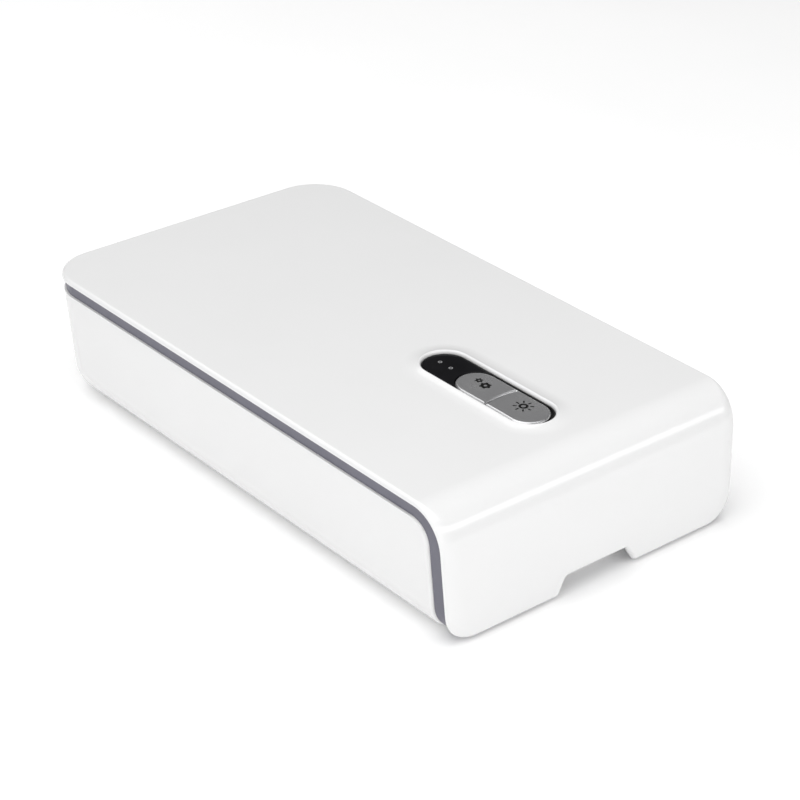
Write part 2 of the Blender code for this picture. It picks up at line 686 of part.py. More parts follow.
def base_deck(case):
    inset = BASE_WALL + 0.5 * MM
    front = FILLET_Y + FRONT_GAIN * (BAND_END + PARTING_GAP + BASE_WALL) + inset
    points = outline(
        half_at(RIM_Z) - inset, front, back_at(RIM_Z) - inset, FRONT_CORNER, REAR_CORNER - inset
    )
    made = case.part("base_deck", plate(points, RIM_Z - DECK_THICK, RIM_Z - 0.1 * MM), "white_abs")
    cut(case, made, "deck_mouth", plate(chamber_outline(0.0), RIM_Z - 5 * MM, RIM_Z + 5 * MM))
    holes = [cylinder(1.6 * MM, RIM_Z - 5 * MM, RIM_Z + MM, (x, y, 0), sides=12) for x, y in deck_screw_places()]
    cut(case, made, "deck_holes", together(holes))
    seat = RIM_Z - HEAD_SEAT_DEPTH
    seats = [cylinder(HEAD_SEAT, seat, RIM_Z + MM, (x, y, 0), sides=16) for x, y in deck_screw_places()]
    cut(case, made, "deck_seats", together(seats))


def base_led_places():
    return [(0.0, step * LED_PITCH_BASE) for step in (-1, 0, 1)]


def base_liner(case):
    """The mirror tub: outer side up, round its flange, then down the inner side."""
    top = RIM_Z - DECK_THICK - GAP
    low = CHAMBER_FLOOR_Z - LINER_THICK
    corner = 5 * MM
    sweep = [math.radians(90 * k / 3) for k in range(4)]
    rows = [
        (corner * (1 - math.sin(a)) - LINER_THICK, low + corner * (1 - math.cos(a))) for a in sweep
    ]
    rows += [(-LINER_THICK, top - LINER_THICK), (-LINER_FLANGE, top - LINER_THICK)]
    rows += [(-LINER_FLANGE, top), (0.0, top)]
    rows += [
        (corner * (1 - math.sin(a)), CHAMBER_FLOOR_Z + corner * (1 - math.cos(a))) for a in reversed(sweep)
    ]
    rings = [[(x, y, z) for x, y in chamber_outline(shrink)] for shrink, z in rows]
    made = case.part("base_liner", loft(rings), "mirror")
    holes = [cylinder(LED_HOLE, low - MM, low + 3 * MM, (x, y, 0)) for x, y in base_led_places()]
    cut(case, made, "liner_holes", together(holes))


def tool_rack(case):
    """The grid that the tools lie on, on four short legs."""
    low = CHAMBER_FLOOR_Z + RACK_LIFT
    corner = 10 * MM
    frame = outline(RACK_HALF_X, RACK_FRONT, RACK_BACK, corner, corner, steps=(4, 4))
    made = case.part("tool_rack", plate(frame, low, low + RACK_THICK), "steel")
    pitch = (RACK_BACK - RACK_FRONT - RACK_THICK) / RACK_BARS
    slots = []
    for k in range(RACK_BARS):
        y = RACK_FRONT + RACK_THICK / 2 + pitch * (k + 0.5)
        for side in (-1, 1):
            reach = RACK_HALF_X - RACK_THICK - (7 * MM if k in (0, RACK_BARS - 1) else 0.0)
            size = (reach - RACK_THICK / 2, pitch - RACK_THICK, 4 * RACK_THICK)
            slots.append(box(size, (side * (reach + RACK_THICK / 2) / 2, y, low)))
    cut(case, made, "rack_slots", together(slots))
    legs = [
        cylinder(RACK_LEG_RADIUS, CHAMBER_FLOOR_Z + GAP, low + 0.5 * RACK_THICK, (side * RACK_LEG_X, y, 0), sides=12)
        for side in (-1, 1)
        for y in (RACK_FRONT + 5 * MM, RACK_BACK - 5 * MM)
    ]
    add(case, made, "rack_legs", together(legs))


def base_electronics(case):
    board_top = CHAMBER_FLOOR_Z - LINER_THICK - GAP
    board = box((LED_BOARD_WIDTH, 190 * MM, MM), (0, 0, board_top - 0.5 * MM))
    case.part("base_led_board", board, "board")
    for k, (x, y) in enumerate(base_led_places()):
        case.part(f"uvc_led_base_{k + 1}", led_module((x, y, board_top + GAP), 1), "quartz")
    main = box((70 * MM, 50 * MM, 1.6 * MM), (50 * MM, 100 * MM, BOTTOM + BASE_WALL + 3 * MM))
    case.part("main_board", main, "board")


def dc_inlet(case):
    """A barrel socket behind the back wall, its nose through the wall and its pin inside the nose."""
    face = back_at(INLET_Z) - 0.8 * MM
    behind = face - 13 * MM
    body = box((12 * MM, 9 * MM, 12 * MM), (INLET_X, behind + 4.5 * MM, INLET_Z))
    made = case.part("dc_inlet", body, "black_plastic")
    place = (INLET_X, 0, INLET_Z)
    add(case, made, "inlet_nose", cylinder(INLET_NOSE, behind + 5 * MM, face, place, "Y", 24))
    cut(case, made, "inlet_socket", cylinder(INLET_BORE, face - 9.5 * MM, face + 2 * MM, place, "Y", 24))
    add(case, made, "inlet_pin", cylinder(INLET_PIN, face - 11 * MM, face - 1.5 * MM, place, "Y", 12))


def feet_and_pins(case):
    for k, (x, y) in enumerate(foot_places()):
        foot = cylinder(FOOT_RADIUS, 0, BOTTOM + FOOT_SINK, (x, y, 0), sides=24)
        case.part(f"foot_{k + 1}", foot, "rubber")
    for side, word in ((-1, "left"), (1, "right")):
        pin = axis_bar(PIN_RADIUS)(side * HINGE_X - PIN_HALF, side * HINGE_X + PIN_HALF)
        case.part(f"hinge_pin_{word}", pin, "steel")


def screws(case, lid):
    for k, place in enumerate(lid_screw_places()):
        screw(f"lid_screw_{k + 1}", case, place, PARTING_Z, 5.0 * MM, 1, lid)
    for k, place in enumerate(deck_screw_places()):
        screw(f"deck_screw_{k + 1}", case, place, RIM_Z, 8.0 * MM, -1)


def build():
    clear_scene()
    case = Case()
    materials(case)
    lid = case.joint("lid_hinge_axis", (0, HINGE_Y, HINGE_Z))
    lid_shell(case, lid)
    lid_frame(case, lid)
    lid_lining(case, lid)
    lid_lamps(case, lid)
    pod(case, lid)
    buttons(case, lid)
    control_electronics(case, lid)
    magnets(case, lid)
    base_shell(case)
    base_deck(case)
    base_liner(case)
    tool_rack(case)
    base_electronics(case)
    dc_inlet(case)
    feet_and_pins(case)
    screws(case, lid)


build()
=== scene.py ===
import json
import math

import bmesh
import bpy
from mathutils import Matrix, Vector
from mathutils.geometry import tessellate_polygon

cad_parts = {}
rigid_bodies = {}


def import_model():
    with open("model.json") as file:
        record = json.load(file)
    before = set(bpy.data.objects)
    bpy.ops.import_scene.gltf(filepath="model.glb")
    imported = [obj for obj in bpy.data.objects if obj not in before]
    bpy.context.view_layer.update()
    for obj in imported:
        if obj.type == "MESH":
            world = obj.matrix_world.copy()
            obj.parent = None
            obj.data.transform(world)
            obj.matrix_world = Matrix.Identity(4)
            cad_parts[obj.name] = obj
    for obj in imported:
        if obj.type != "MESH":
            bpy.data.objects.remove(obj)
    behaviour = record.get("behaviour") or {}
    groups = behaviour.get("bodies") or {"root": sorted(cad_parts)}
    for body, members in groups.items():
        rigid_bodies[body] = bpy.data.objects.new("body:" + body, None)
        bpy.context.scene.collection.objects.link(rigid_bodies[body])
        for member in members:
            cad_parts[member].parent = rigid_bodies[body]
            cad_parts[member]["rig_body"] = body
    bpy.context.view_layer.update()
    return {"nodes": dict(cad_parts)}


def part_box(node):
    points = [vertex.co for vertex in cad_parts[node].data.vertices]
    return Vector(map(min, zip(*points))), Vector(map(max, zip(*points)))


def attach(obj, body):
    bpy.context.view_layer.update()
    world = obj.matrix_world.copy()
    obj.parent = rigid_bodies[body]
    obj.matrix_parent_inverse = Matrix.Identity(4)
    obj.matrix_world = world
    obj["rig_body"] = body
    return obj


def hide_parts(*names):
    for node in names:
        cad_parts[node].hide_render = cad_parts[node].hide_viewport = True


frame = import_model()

bl_info = {
    "name": "UV Sterilizer Cabinet",
    "version": (1, 0, 0),
    "blender": (4, 5, 0),
    "location": "3D View > Sidebar > Cabinet",
    "description": "Builds the moulded, metal and electrical pieces of a hinged UV sterilizer cabinet",
    "category": "Add Mesh",
}

MM = 0.001
TURN = 2 * math.pi

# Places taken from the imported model.
LID_LOW, LID_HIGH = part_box("lid_shell")
DECK_LOW, DECK_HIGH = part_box("base_deck")
LINER_LOW, LINER_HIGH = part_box("base_liner")
RACK_LOW, RACK_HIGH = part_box("tool_rack")
BEZEL_LOW, BEZEL_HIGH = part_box("pod_bezel")
WINDOW_LOW, WINDOW_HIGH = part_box("indicator_window")
MODE_LOW, MODE_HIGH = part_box("button_mode")
LIGHT_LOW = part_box("button_light")[0]
PIN_LOW, PIN_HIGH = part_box("hinge_pin_left")
INLET_LOW, INLET_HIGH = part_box("dc_inlet")

# The case, as its outer surfaces run.
BEAD_HEIGHT = 1.3 * MM
BEAD_CREST = 1.3 * MM
BEAD_SHOULDER = 1.8 * MM
BEAD_CURVE = 1.9  # the power that its slope rises by
BOTTOM = LID_LOW.z
TOP = LID_HIGH.z - BEAD_HEIGHT
HEIGHT = TOP - BOTTOM
HALF_WIDTH = LID_HIGH.x
SIDE_TAPER = 3.2 * MM
BACK_Y = LID_HIGH.y
BACK_TAPER = 5.5 * MM
FRONT_LEAN = 5.0 * MM
FRONT_Y = LID_LOW.y + FRONT_LEAN
LEAN = math.atan2(FRONT_LEAN, HEIGHT)
BEND = 22.5 * MM
BEND_Y = FRONT_Y + BEND * (1 - math.sin(LEAN)) / math.cos(LEAN)
BEND_Z = TOP - BEND
REAR_CORNER = 28.0 * MM
FRONT_CORNER = 2.5 * MM
BOTTOM_ROUND = 16.0 * MM
BASE_FRONT_ROUND = 5.0 * MM
FRONT_RUN = (BEND_Z + BEND * math.sin(LEAN) - BOTTOM) / math.cos(LEAN)
BEND_RUN = BEND * (math.pi / 2 - LEAN)
TOP_RUN = BACK_Y - BEND_Y

# The lid's layers and the base's walls.
SKIN = 2.9 * MM
GAP = 0.3 * MM
BAND_END = 9.5 * MM
BAND_RECESS = 1.2 * MM
FRONT_GAIN = 0.30  # the layers are thicker by this share at the front
TRAY_WALL = 2.0 * MM
TRAY_FLOOR = 1.8 * MM
RIM_GAP = 0.4 * MM
TUB_WALL = 2.4 * MM
PARTING_Z = TOP - BAND_END
RIM_Z = PARTING_Z - RIM_GAP
CHAMBER_HALF = 85.0 * MM
CHAMBER_FRONT = FRONT_Y + 32.0 * MM
CHAMBER_BACK = BACK_Y - 28.0 * MM
CHAMBER_CORNER = 18.0 * MM
BEYOND = 30.0 * MM

# The hinges.
HINGE_Y = (PIN_LOW.y + PIN_HIGH.y) / 2
HINGE_Z = (PIN_LOW.z + PIN_HIGH.z) / 2
HINGE_X = 55.0 * MM
KNUCKLE = 3.45 * MM
KNUCKLE_CLEAR = 3.85 * MM
PIN_HOLE = 1.8 * MM
LID_SPANS = ((-6.6 * MM, 6.6 * MM),)
BASE_SPANS = ((-18.0 * MM, -7.0 * MM), (7.0 * MM, 18.0 * MM))
LID_CLEAR = ((-7.0 * MM, 7.0 * MM),)
BASE_CLEAR = ((-18.3 * MM, -6.6 * MM), (6.6 * MM, 18.3 * MM))
PIN_SPANS = ((-19.5 * MM, 19.5 * MM),)

# The control pod.
POD_X = (BEZEL_LOW.x + BEZEL_HIGH.x) / 2
POD_HALF = 13.2 * MM
POD_FRONT = FRONT_Y + 36.7 * MM
POD_BACK = FRONT_Y + 128.7 * MM
BUTTON_HALF = 11.5 * MM
BUTTON_TOP = MODE_HIGH.z
BUTTON_THICK = 1.1 * MM
DIVIDE_Y = FRONT_Y + 72.5 * MM
DIVIDE_RADIUS = 60.0 * MM
DIVIDE_GAP = 0.6 * MM
STEMS = {"button_light": FRONT_Y + 57 * MM, "button_mode": FRONT_Y + 86 * MM}
STEM_HOLE = 2.5 * MM
LED_HOLES = (FRONT_Y + 111.5 * MM, FRONT_Y + 120 * MM)
LED_HOLE = 1.6 * MM

# The printed icons: places along X are from the pod's middle line.
SUN_X, SUN_Y = 2.0 * MM, -117.5 * MM
SUN_RING = (2.6 * MM, 1.2 * MM)
SUN_RAY = (3.4 * MM, 5.5 * MM, 0.42 * MM)  # start, end and half width
GEARS = ((2.4 * MM, -82.7 * MM, 1.7 * MM), (1.25 * MM, -89.0 * MM, 2.6 * MM))
GEAR_HOLE = 0.36
GEAR_TOOTH = 0.25
WINDOW_MARKS = (-54.3 * MM, -62.9 * MM)
WINDOW_MARK = (1.2 * MM, 0.55 * MM)

# The finger notch, half widths at its top and at the foot.
NOTCH_TOP = 20.7 * MM
NOTCH_FOOT = 26.4 * MM
NOTCH_HEIGHT = 9.4 * MM
NOTCH_CLEAR = 8.0 * MM  # how much wider the tray is cut, so that it can't be seen through the notch

# Emitters and screws, which the sheets round them are cut for.
EMITTER_HOLE = 4.6 * MM
TRAY_EMITTER_HOLE = 5.0 * MM
SCREW_HOLE = 1.7 * MM
SCREW_SEAT = 2.9 * MM
SEAT_DEPTH = 1.3 * MM
EMITTER_CUP = ((4.0, 0.0), (4.0, 1.3), (3.8, 1.6), (3.1, 1.6), (2.9, 1.3), (2.6, 0.8), (0.5, 0.8))
EMITTER_PAD = ((1.5, 0.75), (1.5, 0.95), (1.3, 1.0))

# The stage. A softbox has its place, aim, width, height and brightness.
SOFTBOXES = {
    "front_box": ((0.12, -1.2, 0.70), (0.12, 0.0, 0.70), 2.26, 0.36, 3.0),
    "corner_box": ((-0.55, -1.45, 0.30), (0.0, -0.17, 0.04), 1.0, 0.5, 1.6),
    "left_box": ((-1.7, -0.2, 0.8), (0.0, -0.1, 0.05), 2.2, 1.4, 0.50),
    "top_box": ((-1.0, 0.5, 2.2), (-1.0, 0.5, 0.0), 4.4, 4.4, 1.62),
}
AIR_STRENGTH = 0.12
CAMERA_PLACE = (-0.7159, -0.8927, 0.6643)
CAMERA_HEADING, CAMERA_DOWN, CAMERA_ROLL = -39.4196, 29.0973, 0.24
CAMERA_LENS, CAMERA_SENSOR = 107.241, 36.0
CAMERA_CLIP = (0.05, 60.0)


def length(name, default, description):
    return bpy.props.FloatProperty(
        name=name, description=description, default=default, min=0.0, unit="LENGTH", subtype="DISTANCE",
    )


def tint(name, default, description):
    return bpy.props.FloatVectorProperty(
        name=name, description=description, default=default, min=0.0, max=1.0, size=3, subtype="COLOR",
    )


class CabinetSizes(bpy.types.PropertyGroup):
    lid_edge: length("Lid edge rounding", 2.2 * MM, "Radius of the lid's outer edges")
    front_roll: length("Front end roll", 10.0 * MM, "How wide the front's two ends roll back to their edges")
    bead_width: length("Pod bead width", 10.0 * MM, "How far the raised bead round the buttons reaches")
    button_edge: length("Button edge", 1.1 * MM, "Width of the sloped edge round each button")
    icon_height: length("Printed icon height", 0.03 * MM, "How far the printed icons stand on the buttons")
    rack_wire: length("Rack wire radius", 1.2 * MM, "Radius of the rack's wires")
    floor_size: length("Floor size", 12.0, "Side of the plain floor")


class CabinetColours(bpy.types.PropertyGroup):
    lid_white: tint("Lid white", (0.80, 0.80, 0.80), "Moulded shells")
    band_grey: tint("Band grey", (0.126, 0.124, 0.160), "Inner tray and its band")
    button_silver: tint("Button silver", (0.64, 0.64, 0.65), "Buttons")
    icon_black: tint("Icon black", (0.004, 0.004, 0.004), "Printed icons")
    floor_white: tint("Floor white", (0.95, 0.95, 0.95), "Studio floor")


def sizes():
    return bpy.context.scene.cabinet_sizes


def colours():
    return bpy.context.scene.cabinet_colours


# Outlines and rings.


def arc(centre_x, centre_y, radius, start, end, steps):
    """Points on a circle from start to end, in degrees, both ends included."""
    angles = [math.radians(start + (end - start) * k / steps) for k in range(steps + 1)]
    return [(centre_x + radius * math.cos(a), centre_y + radius * math.sin(a)) for a in angles]


def rounded_box(half, front, back, front_radius, back_radius, steps=(4, 12)):
    """A rectangle with rounded corners, anticlockwise from its front left corner."""
    f, b = front_radius, back_radius
    return (
        arc(f - half, front + f, f, 180, 270, steps[0])
        + arc(half - f, front + f, f, 270, 360, steps[0])
        + arc(half - b, back - b, b, 0, 90, steps[1])
        + arc(b - half, back - b, b, 90, 180, steps[1])
    )


def stadium(grow, steps=28):
    """The pod's outline, let out by a distance."""
    half, front, back = POD_HALF + grow, POD_FRONT - grow, POD_BACK + grow
    return arc(POD_X, front + half, half, 180, 360, steps) + arc(POD_X, back - half, half, 0, 180, steps)


def softened(corners, steps=6):
    """A polygon with each corner given as x, y and radius turned into an arc."""
    points = []
    for k, (x, y, radius) in enumerate(corners):
        here = Vector((x, y))
        before = (Vector(corners[k - 1][:2]) - here).normalized()
        after = (Vector(corners[(k + 1) % len(corners)][:2]) - here).normalized()
        if radius <= 0:
            points.append((x, y))
            continue
        half_angle = before.angle(after) / 2
        reach = radius / math.tan(half_angle)
        centre = here + (before + after).normalized() * (radius / math.sin(half_angle))
        start, end = here + before * reach - centre, here + after * reach - centre
        sweep = start.angle_signed(end)
        for step in range(steps + 1):
            turned = Matrix.Rotation(-sweep * step / steps, 2) @ start
            points.append(tuple(centre + turned))
    return points


def inset(points, distance):
    """An anticlockwise outline moved inwards."""
    moved = []
    for k, (x, y) in enumerate(points):
        here = Vector((x, y))
        first = here - Vector(points[k - 1])
        second = Vector(points[(k + 1) % len(points)]) - here
        sides = [Vector((-edge.y, edge.x)).normalized() for edge in (first, second)]
        mitre = (sides[0] + sides[1]) / (1 + sides[0].dot(sides[1]))
        moved.append(tuple(here + mitre * distance))
    return moved


def lift(points, z):
    return [(x, y, z) for x, y in points]


def round_edge(radius, steps=5):
    """Pairs of inset and drop that take a wall over a rounded edge, from the wall upwards."""
    angles = [math.pi / 2 * k / steps for k in range(steps + 1)]
    return [(radius * (1 - math.cos(a)), radius * (1 - math.sin(a))) for a in angles]


# Meshes.


def loop_of(bm, points):
    return [bm.verts.new(point) for point in points]


def walls(bm, loops):
    """Faces between each loop of vertices and the next."""
    for low, high in zip(loops, loops[1:]):
        for k in range(len(low)):
            following = (k + 1) % len(low)
            bm.faces.new((low[k], low[following], high[following], high[k]))


def cover(bm, loops):
    """Closes the flat area between an outer loop and any holes in it."""
    corners = [vertex for loop in loops for vertex in loop]
    for triangle in tessellate_polygon([[vertex.co for vertex in loop] for loop in loops]):
        bm.faces.new([corners[k] for k in triangle])


def outward(bm):
    bmesh.ops.recalc_face_normals(bm, faces=bm.faces)
    return bm


def body_of_rings(rings, holes=()):
    """A closed body through rings, with holes given as their own rings from end to end."""
    bm = bmesh.new()
    columns = [[loop_of(bm, ring) for ring in column] for column in (rings, *holes)]
    for column in columns:
        walls(bm, column)
    cover(bm, [column[0] for column in columns])
    cover(bm, [column[-1] for column in columns])
    return outward(bm)


def bar(points, left, right):
    """A flat outline in Y and Z run along X."""
    return body_of_rings([[(x, y, z) for y, z in points] for x in (left, right)])


def circle(radius, centre, z, steps=32):
    return [
        (centre[0] + radius * math.cos(TURN * k / steps), centre[1] + radius * math.sin(TURN * k / steps), z)
        for k in range(steps)
    ]


def turned(profile, place, axis="Z", steps=32):
    """A turned body from pairs of radius and distance along its axis."""
    bm = body_of_rings([circle(radius, (0, 0), z, steps) for radius, z in profile])
    turn = {
        "Z": Matrix(),
        "Y": Matrix.Rotation(math.radians(-90), 4, "X"),
        "X": Matrix.Rotation(math.radians(90), 4, "Y"),
    }
    bmesh.ops.transform(bm, matrix=Matrix.Translation(place) @ turn[axis], verts=bm.verts)
    return bm


def tube(points, radius, closed=False, sides=12):
    """A round wire along points, square to its path at each of them."""
    path = [Vector(point) for point in points]
    rings = []
    for k, here in enumerate(path):
        before = path[k - 1] if closed or k else here
        after = path[(k + 1) % len(path)] if closed or k < len(path) - 1 else here
        along = (after - before).normalized()
        across = along.cross(Vector((0, 0, 1)))
        across = across.normalized() if across.length > 0.1 else Vector((1, 0, 0))
        upward = across.cross(along)
        rings.append([
            here + radius * (math.cos(TURN * s / sides) * across + math.sin(TURN * s / sides) * upward)
            for s in range(sides)
        ])
    bm = bmesh.new()
    loops = [loop_of(bm, ring) for ring in rings]
    walls(bm, loops + loops[:1] if closed else loops)
    if not closed:
        cover(bm, [loops[0]])
        cover(bm, [loops[-1]])
    return outward(bm)


def merged(pieces):
    """Several bodies as one mesh. The bodies given are used up."""
    whole = bmesh.new()
    for piece in pieces:
        mesh = bpy.data.meshes.new("piece")
        piece.to_mesh(mesh)
        piece.free()
        whole.from_mesh(mesh)
        bpy.data.meshes.remove(mesh)
    return whole


def linked(name, bm):
    mesh = bpy.data.meshes.new(name)
    bm.to_mesh(mesh)
    bm.free()
    made = bpy.data.objects.new(name, mesh)
    bpy.context.scene.collection.objects.link(made)
    return made


def joined(target, bm, operation="DIFFERENCE"):
    """Cuts a mesh from an object, or joins it on, for good."""
    tool = linked("tool", bm)
    change = target.modifiers.new("change", "BOOLEAN")
    change.operation = operation
    change.solver = "EXACT"
    change.object = tool
    graph = bpy.context.evaluated_depsgraph_get()
    mesh = bpy.data.meshes.new_from_object(target.evaluated_get(graph))
    target.modifiers.clear()
    old = target.data
    target.data = mesh
    bpy.data.meshes.remove(old)
    bpy.data.objects.remove(tool)
    if not len(mesh.polygons):
        raise RuntimeError(f"{target.name} was lost in a cut")


def shaded(made, angle=32.0):
    made.data.shade_smooth()
    made.data.set_sharp_from_angle(angle=math.radians(angle))
    normals = made.modifiers.new("even shading", "WEIGHTED_NORMAL")
    normals.mode = "FACE_AREA_WITH_ANGLE"
    normals.keep_sharp = True


def placed(made, body, slot, looks, nodes=(), angle=32.0):
    """Gives a piece its finish and shading, fixes it to the body that moves it and hides the imported parts that
    it takes the place of.
    """
    for look in looks:
        made.data.materials.append(finish(look))
    shaded(made, angle)
    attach(made, body)
    if nodes:
        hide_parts(*nodes)


def piece(name, bm, *said):
    placed(linked(name, bm), *said)


# Finishes.


def add_node(tree, kind, **values):
    made = tree.nodes.new(kind)
    for key, value in values.items():
        if key in made.inputs:
            made.inputs[key].default_value = value
        else:
            setattr(made, key, value)
    return made


def noise(tree, scale, detail=2.0, rough=0.5, stretch=None):
    """A noise in the piece's own metres, stretched along an axis if asked."""
    place = add_node(tree, "ShaderNodeTexCoord").outputs["Object"]
    if stretch:
        mapping = add_node(tree, "ShaderNodeMapping", Scale=stretch)
        tree.links.new(place, mapping.inputs["Vector"])
        place = mapping.outputs["Vector"]
    made = add_node(tree, "ShaderNodeTexNoise", Scale=scale, Detail=detail, Roughness=rough)
    tree.links.new(place, made.inputs["Vector"])
    return made.outputs["Fac"]


def spread(tree, source, low, high):
    """Takes the middle of a noise to a range of values."""
    made = add_node(tree, "ShaderNodeMapRange")
    for key, value in (("From Min", 0.3), ("From Max", 0.7), ("To Min", low), ("To Max", high)):
        made.inputs[key].default_value = value
    tree.links.new(source, made.inputs["Value"])
    return made.outputs["Result"]


def ramp(tree, source, stops):
    made = add_node(tree, "ShaderNodeValToRGB")
    while len(made.color_ramp.elements) < len(stops):
        made.color_ramp.elements.new(0.5)
    for element, (place, colour) in zip(made.color_ramp.elements, stops):
        element.position = place
        element.color = (*colour, 1.0)
    tree.links.new(source, made.inputs["Fac"])
    return made.outputs["Color"]


def bump(tree, source, strength, distance, under=None):
    made = add_node(tree, "ShaderNodeBump", Strength=strength, Distance=distance)
    tree.links.new(source, made.inputs["Height"])
    if under:
        tree.links.new(under, made.inputs["Normal"])
    return made.outputs["Normal"]


def blank(name, **values):
    """A new material and its shader with constant values set on the shader's own sockets."""
    made = bpy.data.materials.new(name)
    made.use_nodes = True
    shader = made.node_tree.nodes["Principled BSDF"]
    for key, value in values.items():
        shader.inputs[key.replace("_", " ")].default_value = value
    return made, made.node_tree, shader


def tones(colour, amount):
    return (
        (0.3, tuple(max(c * (1 - amount), 0.0) for c in colour)),
        (0.7, tuple(min(c * (1 + amount), 1.0) for c in colour)),
    )


def connected(tree, shader, colour, gloss, relief):
    for socket, source in (("Base Color", colour), ("Roughness", gloss), ("Normal", relief)):
        tree.links.new(source, shader.inputs[socket])


def patterned(name, colour, amount, gloss, relief, fields, **values):
    """A material whose colour, roughness and bump each follow a noise, given in that order."""
    made, tree, shader = blank(name, **values)
    noises = {field: noise(tree, *field) for field in fields}
    tinted, glossed, raised = (noises[field] for field in fields)
    tint_out = ramp(tree, tinted, tones(colour, amount))
    connected(tree, shader, tint_out, spread(tree, glossed, *gloss), bump(tree, raised, *relief))
    return made


def moulded(name, colour, rough, amount=0.012, grain=2600.0, depth=0.02, **values):
    """Moulded plastic: faint flow shading, uneven gloss and a fine skin."""
    made, tree, shader = blank(name, **values)
    flow = noise(tree, 14.0, 3.0, 0.55)
    skin = noise(tree, grain, 2.0, 0.6)
    gloss = noise(tree, 120.0, 4.0, 0.6)
    swell = noise(tree, 30.0, 1.0, 0.4)
    shade = ramp(tree, flow, tones(colour, amount))
    sheen = spread(tree, gloss, rough * 0.86, rough * 1.14)
    relief = bump(tree, skin, depth, 0.06 * MM, bump(tree, swell, 0.05, 0.2 * MM))
    connected(tree, shader, shade, sheen, relief)
    return made


def brushed(name, colour, rough, stretch, amount=0.06, depth=0.05):
    """Metal with drawn lines along one axis."""
    lines, cloud = (60.0, 5.0, 0.75, stretch), (22.0, 2.0, 0.5)
    gloss = (rough * 0.8, rough * 1.2)
    return patterned(name, colour, amount, gloss, (depth, 0.03 * MM), (lines, cloud, lines), Metallic=1.0)


FINISHES = {}


def white_shell():
    return moulded("white_shell_plastic", colours().lid_white, 0.12, amount=0.006, depth=0.006, IOR=1.5)


def grey_tray():
    return moulded("grey_tray_plastic", colours().band_grey, 0.42, amount=0.05, grain=1400.0, depth=0.10)


def mirror_sheet():
    roll, wave = (40.0, 4.0, 0.7, (1.0, 12.0, 1.0)), (18.0, 1.0, 0.4)
    return patterned(
        "mirror_sheet", (0.83, 0.84, 0.86), 0.03, (0.10, 0.17), (0.05, 0.6 * MM), (roll, roll, wave),
        Metallic=1.0,
    )


def silver_paint():
    """Silver-painted plastic with fine flake."""
    flake, cloud = (5200.0, 1.0, 0.8), (45.0, 3.0, 0.5)
    return patterned(
        "silver_paint", colours().button_silver, 0.03, (0.24, 0.28), (0.012, 0.03 * MM), (flake, cloud, flake),
        Metallic=0.85, Coat_Weight=0.15, Coat_Roughness=0.2,
    )


def black_lens():
    cloud, wave = (60.0, 3.0, 0.6), (90.0, 1.0, 0.4)
    return patterned(
        "black_lens", (0.006, 0.006, 0.007), 0.25, (0.05, 0.10), (0.04, 0.1 * MM), (cloud, cloud, wave),
        Specular_IOR_Level=0.15,
    )


def black_rim():
    return moulded("black_rim_plastic", (0.012, 0.012, 0.013), 0.30, amount=0.2, Specular_IOR_Level=0.3)


def matt_black():
    return moulded("matt_black_plastic", (0.022, 0.022, 0.024), 0.5, amount=0.2, grain=1500.0, depth=0.12)


def printed_black():
    return moulded(
        "printed_black", colours().icon_black, 0.5, amount=0.2, grain=3000.0, depth=0.05, Specular_IOR_Level=0.15
    )


def printed_grey():
    return moulded("printed_grey", (0.24, 0.24, 0.245), 0.4, amount=0.1, grain=3000.0, depth=0.05)


def drawn_steel():
    return brushed("drawn_steel", (0.60, 0.60, 0.61), 0.24, (1.0, 1.0, 8.0))


def chromed_wire():
    pits, wave = (700.0, 3.0, 0.6), (160.0, 2.0, 0.5)
    return patterned(
        "chromed_wire", (0.70, 0.71, 0.72), 0.04, (0.10, 0.20), (0.06, 0.1 * MM), (wave, pits, wave),
        Metallic=1.0,
    )


def plated_magnet():
    return brushed("plated_magnet", (0.55, 0.55, 0.57), 0.22, (6.0, 1.0, 1.0), amount=0.04)


def rubber():
    return moulded("foot_rubber", (0.045, 0.045, 0.048), 0.78, amount=0.12, grain=900.0, depth=0.25)


def seal_foam():
    made, tree, shader = blank("seal_foam")
    cells = add_node(tree, "ShaderNodeTexVoronoi", Scale=1600.0)
    place = add_node(tree, "ShaderNodeTexCoord")
    tree.links.new(place.outputs["Object"], cells.inputs["Vector"])
    size = noise(tree, 260.0, 3.0, 0.6)
    shade = ramp(tree, size, tones((0.05, 0.05, 0.053), 0.2))
    relief = bump(tree, cells.outputs["Distance"], 0.5, 0.25 * MM)
    connected(tree, shader, shade, spread(tree, size, 0.78, 0.92), relief)
    return made


def circuit_board():
    """Green solder mask over copper tracks, with tinned pads."""
    made, tree, shader = blank("circuit_board", Specular_IOR_Level=0.5)
    place = add_node(tree, "ShaderNodeTexCoord")
    tracks = add_node(tree, "ShaderNodeTexBrick", Scale=260.0)
    tracks.inputs["Mortar Size"].default_value = 0.012
    tree.links.new(place.outputs["Object"], tracks.inputs["Vector"])
    pads = add_node(tree, "ShaderNodeTexVoronoi", Scale=330.0)
    tree.links.new(place.outputs["Object"], pads.inputs["Vector"])
    mask = ramp(tree, noise(tree, 150.0), ((0.3, (0.012, 0.10, 0.035)), (0.7, (0.02, 0.15, 0.06))))
    mix = add_node(tree, "ShaderNodeMix", data_type="RGBA")
    edge = ramp(tree, pads.outputs["Distance"], ((0.10, (1.0, 1.0, 1.0)), (0.16, (0.0, 0.0, 0.0))))
    tree.links.new(edge, mix.inputs[0])
    tree.links.new(mask, mix.inputs[6])
    mix.inputs[7].default_value = (0.62, 0.60, 0.55, 1.0)
    relief = bump(tree, tracks.outputs["Fac"], 0.4, 0.05 * MM)
    connected(tree, shader, mix.outputs[2], spread(tree, noise(tree, 90.0), 0.28, 0.42), relief)
    return made


